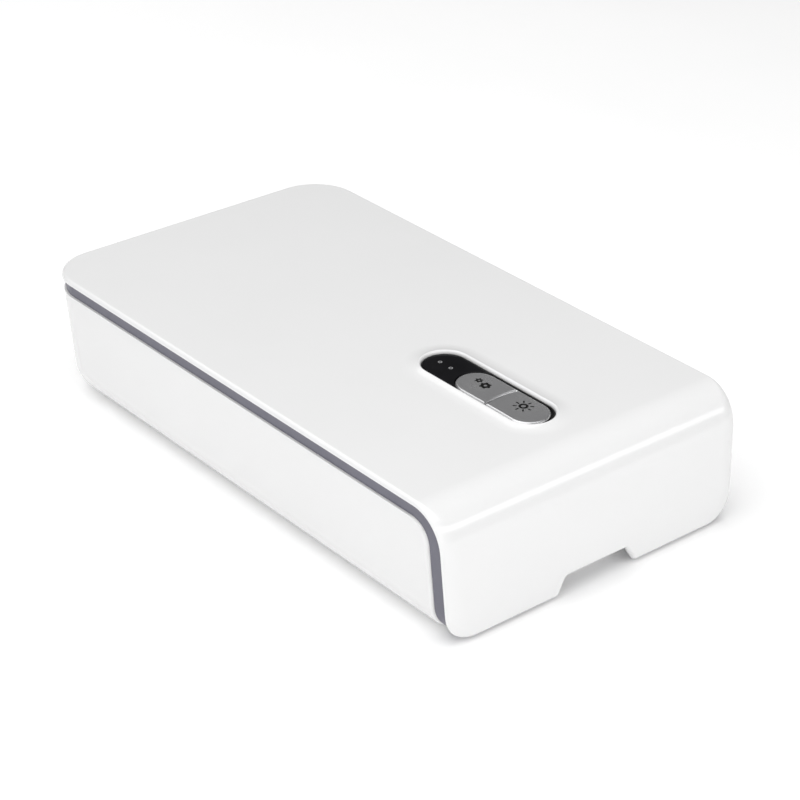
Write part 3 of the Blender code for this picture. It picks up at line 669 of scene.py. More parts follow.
def quartz():
    cloud = (300.0, 2.0, 0.5)
    return patterned(
        "quartz_dome", (0.90, 0.93, 1.0), 0.02, (0.02, 0.06), (0.02, 0.05 * MM), (cloud, cloud, cloud),
        Transmission_Weight=0.92, IOR=1.46,
    )


def ceramic():
    return moulded("emitter_ceramic", (0.80, 0.79, 0.76), 0.42, amount=0.04, grain=1800.0, depth=0.12)


def gold_pad():
    return brushed("gold_pad", (0.85, 0.62, 0.28), 0.25, (1.0, 1.0, 1.0), amount=0.05)


def indicator_resin():
    return moulded("indicator_resin", (0.78, 0.83, 0.78), 0.22, amount=0.03, Transmission_Weight=0.3)


def studio_floor():
    cloud, grain = (6.0, 3.0, 0.5), (900.0, 2.0, 0.5)
    return patterned(
        "studio_floor", colours().floor_white, 0.006, (0.7, 0.8), (0.02, 0.05 * MM), (cloud, cloud, grain),
        Specular_IOR_Level=0.1, Emission_Strength=0.08,
    )


def finish(make):
    """One material from each maker, made the first time that it is asked for."""
    if make.__name__ not in FINISHES:
        FINISHES[make.__name__] = make()
    return FINISHES[make.__name__]


# The case's outer surfaces.


def front_at(z, offset):
    """Where the front surface lies at a height, moved inwards by an offset."""
    radius = BEND - offset
    back = FRONT_GAIN * offset
    if z > BEND_Z + radius * math.sin(LEAN):
        rise = min(z - BEND_Z, radius)
        return BEND_Y + back - math.sqrt(radius**2 - rise**2)
    return FRONT_Y + back - FRONT_LEAN * (TOP - z) / HEIGHT + offset / math.cos(LEAN)


def round_in(z, inward, fillet=BOTTOM_ROUND):
    """How far the bottom's rounding takes a side in at a height."""
    radius = fillet - inward
    below = min(max(BOTTOM + fillet - z, 0.0), radius)
    return radius - math.sqrt(radius**2 - below**2)


def half_at(z):
    return HALF_WIDTH - SIDE_TAPER * (TOP - z) / HEIGHT


def back_at(z):
    return BACK_Y - BACK_TAPER * (TOP - z) / HEIGHT


def section(z, inward=0.0, offset=0.0, round_front=False, setback=0.0):
    """The case's outline at a height."""
    rounding = round_in(z, inward)
    front = front_at(z, offset) + setback + (round_in(z, inward, BASE_FRONT_ROUND) if round_front else 0.0)
    corner = max(FRONT_CORNER - inward, 0.5 * MM)
    rear = REAR_CORNER - inward - rounding / 2
    points = rounded_box(half_at(z) - inward - rounding, front, back_at(z) - inward - rounding, corner, rear)
    return lift(points, z)


def heights(inward, offset, low_steps=10, high_steps=18):
    radius = BOTTOM_ROUND - inward
    low = [
        BOTTOM + BOTTOM_ROUND - radius * math.cos(math.pi / 2 * k / low_steps)
        for k in range(low_steps + 1)
    ]
    angles = [LEAN + (math.pi / 2 - LEAN) * k / high_steps for k in range(high_steps + 1)]
    return low + [BEND_Z + (BEND - offset) * math.sin(a) for a in angles]


def case_rings(inward=0.0, offset=0.0, round_front=False):
    return [section(z, inward, offset, round_front) for z in heights(inward, offset)]


def side_view(offset, steps=24):
    """The lid's side view moved inwards, in Y and Z, closed behind and below the case."""
    low = BOTTOM - BEYOND
    curve = arc(BEND_Y + FRONT_GAIN * offset, BEND_Z, BEND - offset, 180 - math.degrees(LEAN), 90, steps)
    return [(front_at(low, offset), low)] + curve + [(BACK_Y + BEYOND, TOP - offset), (BACK_Y + BEYOND, low)]


def notch_cutter(grow=0.0):
    low, top = BOTTOM - BEYOND, BOTTOM + NOTCH_HEIGHT + grow
    slope = (NOTCH_FOOT - NOTCH_TOP) / NOTCH_HEIGHT
    wide = NOTCH_TOP + grow + slope * (top - low)
    points = [(-wide, low), (wide, low), (NOTCH_TOP + grow, top), (-NOTCH_TOP - grow, top)]
    ends = (FRONT_Y - BEYOND, FRONT_Y + BAND_END + BEYOND)
    return body_of_rings([[(x, y, z) for x, z in points] for y in ends])


# The outer lid, a skin bent over the front.


def eased(value, low, high):
    """Runs smoothly from 0 at a low value to 1 at a high one."""
    part = min(max((value - low) / (high - low), 0.0), 1.0)
    return part * part * (3 - 2 * part)


def bent(x, along, depth):
    """A place on the lid: along runs up the front from its foot, over the bend and back along the top."""
    if along < FRONT_RUN:
        angle, far = math.pi - LEAN, FRONT_RUN - along
        y = BEND_Y + FRONT_GAIN * depth + (BEND - depth) * math.cos(angle) - far * math.sin(LEAN)
        return (x, y, BEND_Z + (BEND - depth) * math.sin(angle) - far * math.cos(LEAN))
    if along < FRONT_RUN + BEND_RUN:
        angle = math.pi - LEAN - (along - FRONT_RUN) / BEND
        back = FRONT_GAIN * depth * (1 - eased(along, FRONT_RUN, FRONT_RUN + BEND_RUN))
        return (x, BEND_Y + back + (BEND - depth) * math.cos(angle), BEND_Z + (BEND - depth) * math.sin(angle))
    return (x, BEND_Y + along - FRONT_RUN - BEND_RUN, TOP - depth)


def lid_half(steps=24):
    """The right half of the lid laid flat: its front, its bend and its top, each from low to high."""
    foot_half, bend_half = half_at(BOTTOM), half_at(bent(0, FRONT_RUN, 0)[2])
    front = softened([
        (0, NOTCH_HEIGHT, 0), (NOTCH_TOP, NOTCH_HEIGHT, 3.0 * MM), (NOTCH_FOOT, 0, 2.4 * MM),
        (foot_half, 0, BOTTOM_ROUND), (bend_half, FRONT_RUN, 0), (0, FRONT_RUN, 0),
    ], steps=8)[1:-1]
    bend = [FRONT_RUN + BEND_RUN * k / steps for k in range(1, steps)]
    end = FRONT_RUN + BEND_RUN + TOP_RUN
    top = [(HALF_WIDTH, FRONT_RUN + BEND_RUN)]
    top += arc(HALF_WIDTH - REAR_CORNER, end - REAR_CORNER, REAR_CORNER, 0, 90, 20)
    return front, [(half_at(bent(0, along, 0)[2]), along) for along in bend], top


def bead_rows(width):
    """The raised bead round the pod, from the flat lid up over its crest and down the opening."""
    steps = 12
    rows = []
    for k in range(steps + 1):
        rise = k / steps
        grow = BEAD_SHOULDER + (width - BEAD_SHOULDER) * (1 - rise)
        rows.append((grow, 0.86 * BEAD_HEIGHT * rise**BEAD_CURVE))
    rows.append((0.5 * (BEAD_CREST + BEAD_SHOULDER), 0.965 * BEAD_HEIGHT))
    fall = BEAD_HEIGHT + 0.2 * MM
    for k in range(steps + 1):
        angle = math.pi / 2 * k / steps
        rows.append((BEAD_CREST * (1 - math.sin(angle)), BEAD_HEIGHT - fall * (1 - math.cos(angle))))
    rows.append((0.0, -SKIN))
    return rows


def lid_skin():
    front, bend, top = lid_half()
    right = front + bend + top
    flat = right + [(-x, y) for x, y in reversed(right)]
    rim, roll = sizes().lid_edge, sizes().front_roll
    edge = [(0.4 * MM, SKIN), (0.0, SKIN - 0.4 * MM)] + round_edge(rim, 9)
    bm = bmesh.new()
    loops = []
    for inward, depth in edge:
        ring = []
        for x, along in inset(flat, inward):
            ends = eased(abs(x), NOTCH_FOOT + 8 * MM, half_at(BOTTOM) - BOTTOM_ROUND)
            wider = ends * (1 - eased(along, FRONT_RUN, FRONT_RUN + BEND_RUN))
            shift = wider * (roll / rim - 1) * min(inward, rim) * (depth < SKIN - MM)
            ring.append(bent(x - math.copysign(shift, x), along, depth))
        loops.append(loop_of(bm, ring))
    walls(bm, loops)
    pod = [loop_of(bm, lift(stadium(grow), TOP + z)) for grow, z in bead_rows(sizes().bead_width)]
    walls(bm, pod)
    for loop, hole in ((loops[-1], pod[0]), (loops[0], pod[-1])):
        mirrored = loop[::-1]
        first, last = len(front) - 1, len(front) + len(bend)
        cover(bm, [loop[:first + 1] + mirrored[:first + 1][::-1]])
        for k in range(first, last):
            bm.faces.new((loop[k], loop[k + 1], mirrored[k + 1], mirrored[k]))
        cover(bm, [loop[last:len(right)] + mirrored[last:len(right)][::-1], hole])
    return outward(bm)


class CABINET_OT_outer_lid(bpy.types.Operator):
    """Make the white outer lid: a bent skin with rounded edges, a finger notch and a bead round the pod"""

    bl_idname = "cabinet.outer_lid"
    bl_label = "Outer lid"

    def execute(self, context):
        piece("outer_lid", lid_skin(), "lid", "white_abs", [white_shell], ["lid_shell"], 40.0)
        return {"FINISHED"}


# The inner tray and the base.


def spans_of(make, spans):
    return merged([
        make(side * HINGE_X + left, side * HINGE_X + right) for side in (-1, 1) for left, right in spans
    ])


def axis_bar(radius):
    return lambda left, right: turned([(radius, left), (radius, right)], (0, HINGE_Y, HINGE_Z), "X")


def knuckle(direction, wall, reach, low):
    """A maker of hinge knuckles with their webs, which run up or down into a wall."""
    points = arc(HINGE_Y, HINGE_Z, KNUCKLE, 170 * direction, -85 * direction, 24)
    points += [(HINGE_Y - wall, HINGE_Z - direction * reach), (HINGE_Y - wall, HINGE_Z - direction * low)]
    return lambda left, right: bar(points, left, right)


def nodes_like(start):
    return sorted(name for name in frame["nodes"] if name.startswith(start))


def middle(node):
    low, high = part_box(node)
    return (low + high) / 2


def bars_at(names, radius, low, high, steps=24):
    places = [(middle(name).x, middle(name).y, 0) for name in names]
    return merged([turned([(radius, low), (radius, high)], place, steps=steps) for place in places])


class CABINET_OT_inner_tray(bpy.types.Operator):
    """Make the grey tray inside the lid, whose wall shows as the band between lid and base"""

    bl_idname = "cabinet.inner_tray"
    bl_label = "Inner tray"

    def execute(self, context):
        made = linked("inner_tray", body_of_rings(case_rings(BAND_RECESS, SKIN + GAP)))
        joined(made, bar(side_view(BAND_END), -2 * HALF_WIDTH, 2 * HALF_WIDTH))
        hollow = linked("hollow", body_of_rings(case_rings(BAND_RECESS + TRAY_WALL, -5 * MM)))
        joined(hollow, bar(side_view(BAND_END - TRAY_FLOOR), -2 * HALF_WIDTH, 2 * HALF_WIDTH))
        joined(hollow, notch_cutter(NOTCH_CLEAR + TRAY_WALL))
        inside = bmesh.new()
        inside.from_mesh(hollow.data)
        bpy.data.objects.remove(hollow)
        joined(made, inside)
        joined(made, notch_cutter(NOTCH_CLEAR))
        joined(made, spans_of(axis_bar(KNUCKLE_CLEAR), BASE_CLEAR))
        joined(made, spans_of(knuckle(-1, 3.2 * MM, 5.5 * MM, 0.8 * MM), LID_SPANS), "UNION")
        joined(made, spans_of(axis_bar(PIN_HOLE), PIN_SPANS))
        low, high = PARTING_Z - MM, PARTING_Z + TRAY_FLOOR + MM
        joined(made, bars_at(nodes_like("uvc_led_lid"), TRAY_EMITTER_HOLE, low, high))
        joined(made, bars_at(nodes_like("lid_screw"), SCREW_HOLE, low, high))
        joined(made, bars_at(nodes_like("lid_screw"), SCREW_SEAT, low, PARTING_Z + SEAT_DEPTH))
        placed(made, "lid", "grey_abs", [grey_tray], ["lid_frame"])
        return {"FINISHED"}


class CABINET_OT_base_tub(bpy.types.Operator):
    """Make the white base: a tub with a rounded bottom, hinge knuckles and a hole for the inlet"""

    bl_idname = "cabinet.base_tub"
    bl_label = "Base tub"

    def execute(self, context):
        offset = BAND_END + RIM_GAP
        outer = case_rings(0.0, offset, True)
        inner = case_rings(TUB_WALL, offset + TUB_WALL, True)
        mouth = section(TOP - offset - TUB_WALL, TUB_WALL, offset + TUB_WALL, setback=TUB_WALL)
        inner[-1] = mouth
        inner.append([(x, y, RIM_Z) for x, y, _ in mouth])
        made = linked("base_tub", body_of_rings(outer + inner[::-1]))
        joined(made, spans_of(knuckle(1, 2.2 * MM, 10 * MM, 0.8 * MM), BASE_SPANS), "UNION")
        joined(made, spans_of(axis_bar(KNUCKLE_CLEAR), LID_CLEAR))
        joined(made, spans_of(axis_bar(PIN_HOLE), PIN_SPANS))
        joined(made, bars_at(nodes_like("foot"), 7.3 * MM, BOTTOM - MM, BOTTOM + MM, 40))
        inlet = (INLET_LOW + INLET_HIGH) / 2
        hole = turned([(4.6 * MM, -5 * MM), (4.6 * MM, 5 * MM)], (inlet.x, back_at(inlet.z), inlet.z), "Y", 40)
        joined(made, hole)
        placed(made, "base", "white_abs", [white_shell], ["base_shell"])
        return {"FINISHED"}


def chamber(shrink):
    """The chamber's outline, taken in by a distance."""
    corner = CHAMBER_CORNER - shrink
    return rounded_box(
        CHAMBER_HALF - shrink, CHAMBER_FRONT + shrink, CHAMBER_BACK - shrink, corner, corner, (12, 12)
    )


class CABINET_OT_deck(bpy.types.Operator):
    """Make the white deck round the chamber's mouth"""

    bl_idname = "cabinet.deck"
    bl_label = "Deck"

    def execute(self, context):
        low, high = DECK_LOW.z, DECK_HIGH.z
        inward = TUB_WALL + 0.5 * MM
        front = BEND_Y + FRONT_GAIN * (BAND_END + RIM_GAP + TUB_WALL) + inward
        outline = rounded_box(
            half_at(RIM_Z) - inward, front, back_at(RIM_Z) - inward, FRONT_CORNER, REAR_CORNER - inward
        )
        edge = 0.5 * MM
        rings = [lift(inset(outline, a), high - b) for a, b in reversed(round_edge(edge))] + [lift(outline, low)]
        lip = reversed(round_edge(0.6 * MM))
        mouth = [lift(chamber(-a), high - b) for a, b in lip] + [lift(chamber(0), low)]
        holes = [mouth]
        for name in nodes_like("deck_screw"):
            seat, hole = RIM_Z - SEAT_DEPTH, 1.6 * MM
            rows = [(3.1 * MM, high), (SCREW_SEAT, high - 0.2 * MM), (SCREW_SEAT, seat)]
            rows += [(hole, seat), (hole, low)]
            holes.append([circle(radius, middle(name), z) for radius, z in rows])
        piece("chamber_deck", body_of_rings(rings, holes), "base", "white_abs", [white_shell], ["base_deck"])
        return {"FINISHED"}


class CABINET_OT_mirror_lining(bpy.types.Operator):
    """Make the mirror tub of the chamber, the reflector under the lid and the soft seal round it"""

    bl_idname = "cabinet.mirror_lining"
    bl_label = "Mirror lining and seal"

    def execute(self, context):
        sheet = 0.8 * MM
        floor, top, corner = LINER_LOW.z + sheet, LINER_HIGH.z, 5 * MM
        sweep = [math.pi / 2 * k / 8 for k in range(9)]
        rows = [(corner * (1 - math.sin(a)) - sheet, floor - sheet + corner * (1 - math.cos(a))) for a in sweep]
        rows += [(-sheet, top - sheet), (-2.4 * MM, top - sheet), (-2.4 * MM, top), (0.0, top)]
        rows += [(corner * (1 - math.sin(a)), floor + corner * (1 - math.cos(a))) for a in reversed(sweep)]
        made = linked("mirror_tub", body_of_rings([lift(chamber(a), z) for a, z in rows]))
        joined(made, bars_at(nodes_like("uvc_led_base"), EMITTER_HOLE, floor - 3 * MM, floor + 3 * MM, 40))
        placed(made, "base", "mirror", [mirror_sheet], ["base_liner"])
        low, high = (corner.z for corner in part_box("lid_reflector"))
        outline = chamber(4 * MM)
        holes = [
            [circle(EMITTER_HOLE, middle(name), z, 40) for z in (low, high)]
            for name in nodes_like("uvc_led_lid")
        ]
        reflector = body_of_rings([lift(outline, low), lift(outline, high)], holes)
        piece("lid_reflector_sheet", reflector, "lid", "mirror", [mirror_sheet], ["lid_reflector"])
        low, high = (corner.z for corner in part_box("light_seal"))
        outer, inner, lip = 1.4 * MM, 3.6 * MM, 0.9 * MM
        rows = [(outer, high), (outer, low + lip), (outer + 0.3 * MM, low + 0.3 * MM), (outer + lip, low)]
        rows += [(inner - lip, low), (inner - 0.3 * MM, low + 0.3 * MM), (inner, low + lip), (inner, high)]
        bm = bmesh.new()
        loops = [loop_of(bm, lift(chamber(a), z)) for a, z in rows]
        walls(bm, loops + loops[:1])
        piece("foam_seal", outward(bm), "lid", "rubber", [seal_foam], ["light_seal"])
        return {"FINISHED"}


class CABINET_OT_wire_rack(bpy.types.Operator):
    """Make the wire rack that the tools lie on, with its four legs"""

    bl_idname = "cabinet.wire_rack"
    bl_label = "Wire rack"

    def execute(self, context):
        wire = sizes().rack_wire
        z = RACK_HIGH.z - wire
        half, front, back = RACK_HIGH.x - wire, RACK_LOW.y + wire, RACK_HIGH.y - wire
        corner = 10 * MM - wire
        pieces = [tube(lift(rounded_box(half, front, back, corner, corner, (8, 8)), z), wire, True)]
        bars = 19
        for k in range(1, bars):
            y = front + (back - front) * k / bars
            pieces.append(tube([(-half, y, z), (half, y, z)], wire))
        pieces.append(tube([(0, front, z), (0, back, z)], wire))
        for x in (-1, 1):
            for y in (RACK_LOW.y + 5 * MM, RACK_HIGH.y - 5 * MM):
                foot = RACK_LOW.z
                profile = [(1.9 * MM, foot), (2.4 * MM, foot + 0.4 * MM), (2.6 * MM, foot + MM), (2.6 * MM, z)]
                pieces.append(turned(profile, (x * 73 * MM, y, 0), steps=24))
        piece("wire_rack", merged(pieces), "base", "steel", [chromed_wire], ["tool_rack"], 45.0)
        return {"FINISHED"}


class CABINET_OT_emitters(bpy.types.Operator):
    """Make the ultraviolet emitters: a ceramic cup, a gold pad and a quartz dome"""

    bl_idname = "cabinet.emitters"
    bl_label = "Emitters"

    def execute(self, context):
        for name in nodes_like("uvc_led"):
            low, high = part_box(name)
            body = "lid" if "lid" in name else "base"
            way = -1 if body == "lid" else 1
            foot = high.z if body == "lid" else low.z
            place = Vector((middle(name).x, middle(name).y, foot))
            sweep = [math.pi / 2 * k / 9 for k in range(1, 9)]
            dome = [(2.95, 1.3), (2.95, 1.6)] + [(3.0 * math.cos(a), 1.6 + 2.05 * math.sin(a)) for a in sweep]
            parts = [
                turned([(r * MM, way * z * MM) for r, z in profile], place, steps=steps)
                for profile, steps in ((EMITTER_CUP, 36), (dome, 36), (EMITTER_PAD, 4))
            ]
            for index, part in enumerate(parts):
                for face in part.faces:
                    face.material_index = index
            title = name.replace("uvc_led", "emitter")
            piece(title, merged(parts), body, "quartz", [ceramic, quartz, gold_pad], [name])
        return {"FINISHED"}


# The control pod.


def divide(shift, steps=24):
    """The shallow curve between the two buttons, from left to right."""
    reach = math.degrees(math.asin(BUTTON_HALF / DIVIDE_RADIUS))
    return arc(POD_X, DIVIDE_Y + shift - DIVIDE_RADIUS, DIVIDE_RADIUS, 90 + reach, 90 - reach, steps)


def button_outlines():
    rear = arc(POD_X, MODE_HIGH.y - BUTTON_HALF, BUTTON_HALF, 0, 180, 48)
    nose = arc(POD_X, LIGHT_LOW.y + BUTTON_HALF, BUTTON_HALF, 180, 360, 48)
    return {"button_mode": rear + divide(DIVIDE_GAP / 2), "button_light": nose + divide(-DIVIDE_GAP / 2)[::-1]}


def button_body(outline, stem_y):
    width = sizes().button_edge
    low, high = BUTTON_TOP - BUTTON_THICK, BUTTON_TOP
    slope = ((0.0, 0.9), (0.04, 0.8), (0.50, 0.18), (0.62, 0.09), (0.78, 0.03), (1.0, 0.0))
    rows = [(0.0, low)] + [(across * width, high - down * MM) for across, down in slope]
    cap = body_of_rings([lift(inset(outline, a), z) for a, z in rows])
    stem = turned([(2.0 * MM, MODE_LOW.z), (2.0 * MM, low + 0.2 * MM)], (POD_X, stem_y, 0), steps=24)
    return merged([cap, stem])


class CABINET_OT_buttons(bpy.types.Operator):
    """Make the two silver buttons with their sloped edges"""

    bl_idname = "cabinet.buttons"
    bl_label = "Buttons"

    def execute(self, context):
        for name, outline in button_outlines().items():
            body = frame["nodes"][name]["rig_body"]
            cap = button_body(outline, STEMS[name])
            title = name.replace("button", "silver_button")
            piece(title, cap, body, "silver", [silver_paint], [name], 40.0)
        return {"FINISHED"}


class CABINET_OT_pod_bezel(bpy.types.Operator):
    """Make the black bezel under the buttons and the glossy window behind them"""

    bl_idname = "cabinet.pod_bezel"
    bl_label = "Pod bezel and window"

    def execute(self, context):
        skin, lip, rim, floor = SKIN + GAP, 0.35 * MM, 0.7 * MM, 2.0 * MM
        rows = [(2.3 * MM, -skin - 1.2 * MM), (2.3 * MM, -skin), (-GAP, -skin), (-GAP, -lip - 0.15 * MM)]
        rows += [(-GAP - 0.15 * MM, -lip), (-GAP - rim + 0.15 * MM, -lip), (-GAP - rim, -lip - 0.15 * MM)]
        rows += [(-GAP - rim, -floor)]
        made = linked("pod_rim", body_of_rings([lift(stadium(grow), TOP + z) for grow, z in rows]))
        holes = [(y, STEM_HOLE) for y in STEMS.values()] + [(y, LED_HOLE) for y in LED_HOLES]
        joined(made, merged([
            turned([(radius, TOP - 6 * MM), (radius, TOP - MM)], (POD_X, y, 0), steps=24) for y, radius in holes
        ]))
        placed(made, "lid", "black_plastic", [black_rim], ["pod_bezel"])
        half = WINDOW_HIGH.x - POD_X
        gap = BUTTON_HALF + 0.6 * MM
        round_end = MODE_HIGH.y - BUTTON_HALF
        start = math.degrees(math.acos(half / gap))
        outline = arc(POD_X, WINDOW_HIGH.y - half, half, 0, 180, 48)
        outline += arc(POD_X, round_end, gap, 180 - start, start, 40)
        low, high, edge = WINDOW_LOW.z, WINDOW_HIGH.z, 0.3 * MM
        rows = [(0.0, low)] + [(a, high - b) for a, b in round_edge(edge, 4)]
        lens = body_of_rings([lift(inset(outline, a), z) for a, z in rows])
        piece("indicator_lens", lens, "lid", "black_gloss", [black_lens], ["indicator_window"], 40.0)
        return {"FINISHED"}


def printed(outline_sets, z, thick):
    """Flat printed shapes, each an outline with any holes in it."""
    bodies = []
    for outline, *holes in outline_sets:
        rings = [lift(outline, z), lift(outline, z + thick)]
        bodies.append(body_of_rings(rings, [[lift(hole, z), lift(hole, z + thick)] for hole in holes]))
    return merged(bodies)


def ring_outline(x, y, outer, inner, steps=40):
    return [p[:2] for p in circle(outer, (x, y), 0, steps)], [p[:2] for p in circle(inner, (x, y), 0, steps)]


def ray(x, y, start, end, half, angle):
    along, across = Vector((math.cos(angle), math.sin(angle))), Vector((-math.sin(angle), math.cos(angle)))
    centre = Vector((x, y))
    corners = ((start, half), (start, -half), (end, -half), (end, half))
    return [tuple(centre + along * a + across * b) for a, b in reversed(corners)]


class CABINET_OT_icons(bpy.types.Operator):
    """Print the generic icons on the buttons and the window"""

    bl_idname = "cabinet.icons"
    bl_label = "Printed icons"

    def execute(self, context):
        thick, z = sizes().icon_height, BUTTON_TOP
        sun_x = POD_X + SUN_X
        sun = [ring_outline(sun_x, SUN_Y, *SUN_RING)]
        sun += [(ray(sun_x, SUN_Y, *SUN_RAY, TURN * k / 8),) for k in range(8)]
        body = frame["nodes"]["button_light"]["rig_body"]
        piece("light_icon", printed(sun, z, thick), body, None, [printed_black])
        marks = []
        for x, y, radius in GEARS:
            x += POD_X
            marks.append(ring_outline(x, y, radius, GEAR_HOLE * radius))
            start, end, half = radius - 0.1 * MM, radius + 0.6 * MM, GEAR_TOOTH * radius
            marks += [(ray(x, y, start, end, half, TURN * (k + 0.5) / 6),) for k in range(6)]
        body = frame["nodes"]["button_mode"]["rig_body"]
        piece("mode_icon", printed(marks, z, thick), body, None, [printed_black])
        small = [ring_outline(POD_X, y, *WINDOW_MARK) for y in WINDOW_MARKS]
        piece("window_icons", printed(small, WINDOW_HIGH.z, thick), "lid", None, [printed_grey])
        return {"FINISHED"}


# Screws, feet, inlet and the pieces inside.


def screw_mesh(head, shank_end, way):
    """A pan-head screw along Z, still without its cross recess; way is +1 where its shank runs up."""
    profile = [(2.5, 0.55), (2.45, 0.35), (2.2, 0.15), (1.7, 0.04), (0.9, 0.0)]
    rings = [(r * MM, head + way * z * MM) for r, z in reversed(profile)]
    rings += [(2.5 * MM, head + way * MM), (1.25 * MM, head + way * MM), (1.25 * MM, shank_end)]
    return turned(rings, (0, 0, 0), steps=40)


class CABINET_OT_screws(bpy.types.Operator):
    """Make the screws of the tray and the deck, each with a cross recess"""

    bl_idname = "cabinet.screws"
    bl_label = "Screws"

    def execute(self, context):
        for name in nodes_like("lid_screw") + nodes_like("deck_screw"):
            low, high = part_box(name)
            way = 1 if name.startswith("lid") else -1
            head, end = (low.z, high.z) if way > 0 else (high.z, low.z)
            made = linked(name.replace("_screw", "_cross_screw"), screw_mesh(head, end, way))
            for wide, deep in ((2.6, 0.5), (0.5, 2.6)):
                near, far = head - way * MM, head + way * 0.65 * MM
                half_x, half_y = wide * MM / 2, deep * MM / 2
                corners = [(-half_x, -half_y), (half_x, -half_y), (half_x, half_y), (-half_x, half_y)]
                taper = [(x * 0.6, y * 0.6) for x, y in corners]
                joined(made, body_of_rings([lift(corners, near), lift(corners, head), lift(taper, far)]))
            made.location = (middle(name).x, middle(name).y, 0)
            placed(made, "lid" if way > 0 else "base", "steel", [drawn_steel], [name])
        return {"FINISHED"}


class CABINET_OT_feet(bpy.types.Operator):
    """Make the four rubber feet with ringed undersides"""

    bl_idname = "cabinet.feet"
    bl_label = "Feet"

    def execute(self, context):
        for name in nodes_like("foot"):
            low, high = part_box(name)
            r, deep = 7.0, 0.25
            profile = [(1.5, deep), (1.8, 0.0), (2.8, 0.0), (3.1, deep), (3.9, deep), (4.2, 0.0), (5.2, 0.0)]
            profile += [(5.5, deep), (5.8, 0.0), (6.5, 0.0), (6.9, deep), (r, 0.6)]
            rings = [(a * MM, low.z + z * MM) for a, z in profile] + [(r * MM, high.z)]
            foot = turned(rings, (middle(name).x, middle(name).y, 0), steps=48)
            piece(name.replace("foot", "rubber_foot"), foot, "base", "rubber", [rubber], [name])
        return {"FINISHED"}


class CABINET_OT_inlet(bpy.types.Operator):
    """Make the barrel inlet: a black socket with its steel pin"""

    bl_idname = "cabinet.inlet"
    bl_label = "Inlet"

    def execute(self, context):
        centre = (INLET_LOW + INLET_HIGH) / 2
        face, behind = INLET_HIGH.y, INLET_LOW.y
        profile = [(2.0 * MM, behind), (5.8 * MM, behind)]
        profile += [(5.8 * MM, behind + 9 * MM), (4.1 * MM, behind + 9 * MM)]
        profile += [(4.1 * MM, face - 0.4 * MM), (3.8 * MM, face), (3.2 * MM, face), (2.9 * MM, face - 0.5 * MM)]
        profile += [(2.9 * MM, face - 9.5 * MM), (1.2 * MM, face - 9.5 * MM)]
        place = (centre.x, 0, centre.z)
        socket = turned(profile, place, "Y", 40)
        piece("inlet_socket", socket, "base", "black_plastic", [matt_black], ["dc_inlet"])
        pin = [(1.0, -9.6), (1.0, -2.0), (0.85, -1.7), (0.5, -1.5)]
        steel = turned([(r * MM, face + y * MM) for r, y in pin], place, "Y", 24)
        piece("inlet_pin", steel, "base", "steel", [drawn_steel])
        return {"FINISHED"}


class CABINET_OT_inside(bpy.types.Operator):
    """Finish the boards, magnets, switches and pins that the shells cover"""

    bl_idname = "cabinet.inside"
    bl_label = "Boards, magnets and pins"

    def execute(self, context):
        looks = (
            ("lid_led_board", circuit_board), ("base_led_board", circuit_board), ("main_board", circuit_board),
            ("control_board", circuit_board), ("lid_magnet", plated_magnet), ("base_magnet", plated_magnet),
            ("sensor_magnet", plated_magnet), ("lid_switch", matt_black), ("tact_switch", matt_black),
            ("indicator_led", indicator_resin), ("hinge_pin", drawn_steel),
        )
        for start, look in looks:
            for name in nodes_like(start):
                node = frame["nodes"][name]
                node.data.materials.clear()
                node.data.materials.append(finish(look))
        return {"FINISHED"}


# The stage.


def softbox(name, place, aim, wide, tall, radiance):
    """A rectangular light whose face has a set brightness."""
    data = bpy.data.lights.new(name, "AREA")
    data.shape = "RECTANGLE"
    data.size, data.size_y = wide, tall
    data.energy = radiance * math.pi * wide * tall
    light = bpy.data.objects.new(name, data)
    light.location = place
    light.rotation_euler = (Vector(aim) - Vector(place)).to_track_quat("-Z", "Y").to_euler()
    bpy.context.scene.collection.objects.link(light)


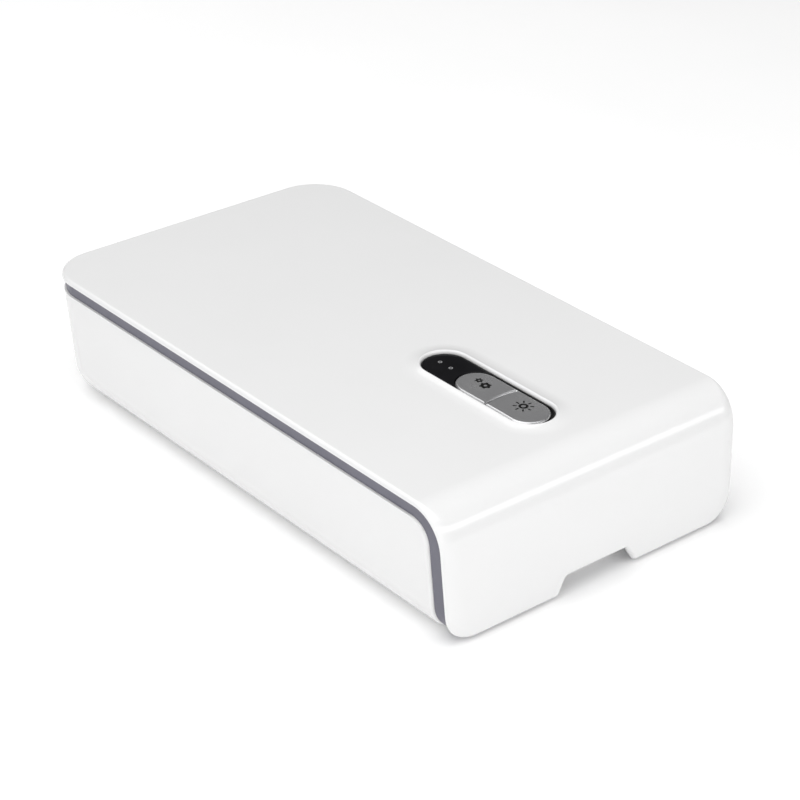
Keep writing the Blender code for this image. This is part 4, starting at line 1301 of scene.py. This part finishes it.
class CABINET_OT_stage(bpy.types.Operator):
    """Lay the floor and set the lights and the camera"""

    bl_idname = "cabinet.stage"
    bl_label = "Stage"

    def execute(self, context):
        scene = context.scene
        half = sizes().floor_size / 2
        bm = bmesh.new()
        bm.faces.new(loop_of(bm, [(-half, -half, 0), (half, -half, 0), (half, half, 0), (-half, half, 0)]))
        floor = linked("floor", bm)
        floor.data.materials.append(finish(studio_floor))
        world = bpy.data.worlds.new("studio_air")
        world.use_nodes = True
        air = world.node_tree.nodes["Background"]
        air.inputs["Color"].default_value = (1.0, 1.0, 1.0, 1.0)
        air.inputs["Strength"].default_value = AIR_STRENGTH
        scene.world = world
        for name, values in SOFTBOXES.items():
            softbox(name, *values)
        lens = bpy.data.cameras.new("camera")
        lens.lens, lens.sensor_width = CAMERA_LENS, CAMERA_SENSOR
        lens.clip_start, lens.clip_end = CAMERA_CLIP
        camera = bpy.data.objects.new("camera", lens)
        steps = ((CAMERA_HEADING, "Z"), (90 - CAMERA_DOWN, "X"), (CAMERA_ROLL, "Z"))
        turns = [Matrix.Rotation(math.radians(angle), 4, axis) for angle, axis in steps]
        camera.matrix_world = Matrix.Translation(CAMERA_PLACE) @ (turns[0] @ turns[1]) @ turns[2]
        scene.collection.objects.link(camera)
        scene.camera = camera
        scene.view_settings.view_transform = "Standard"
        return {"FINISHED"}


OPERATORS = (
    CABINET_OT_outer_lid, CABINET_OT_inner_tray, CABINET_OT_base_tub, CABINET_OT_deck,
    CABINET_OT_mirror_lining, CABINET_OT_wire_rack, CABINET_OT_emitters, CABINET_OT_buttons,
    CABINET_OT_pod_bezel, CABINET_OT_icons, CABINET_OT_screws, CABINET_OT_feet, CABINET_OT_inlet,
    CABINET_OT_inside, CABINET_OT_stage,
)


class CABINET_PT_build(bpy.types.Panel):
    """Sizes, colours and a button for each piece of the cabinet"""

    bl_idname = "CABINET_PT_build"
    bl_label = "UV Sterilizer Cabinet"
    bl_space_type = "VIEW_3D"
    bl_region_type = "UI"
    bl_category = "Cabinet"

    def draw(self, context):
        for group in (context.scene.cabinet_sizes, context.scene.cabinet_colours):
            column = self.layout.column(align=True)
            for key in group.__annotations__:
                column.prop(group, key)
        column = self.layout.column(align=True)
        for operator in OPERATORS:
            column.operator(operator.bl_idname)


CLASSES = (CabinetSizes, CabinetColours, *OPERATORS, CABINET_PT_build)


def register():
    for item in CLASSES:
        bpy.utils.register_class(item)
    bpy.types.Scene.cabinet_sizes = bpy.props.PointerProperty(type=CabinetSizes)
    bpy.types.Scene.cabinet_colours = bpy.props.PointerProperty(type=CabinetColours)


def unregister():
    del bpy.types.Scene.cabinet_sizes
    del bpy.types.Scene.cabinet_colours
    for item in reversed(CLASSES):
        bpy.utils.unregister_class(item)


def main():
    register()
    for operator in OPERATORS:
        getattr(bpy.ops.cabinet, operator.bl_idname.split(".")[1])()


if __name__ == "__main__":
    main()
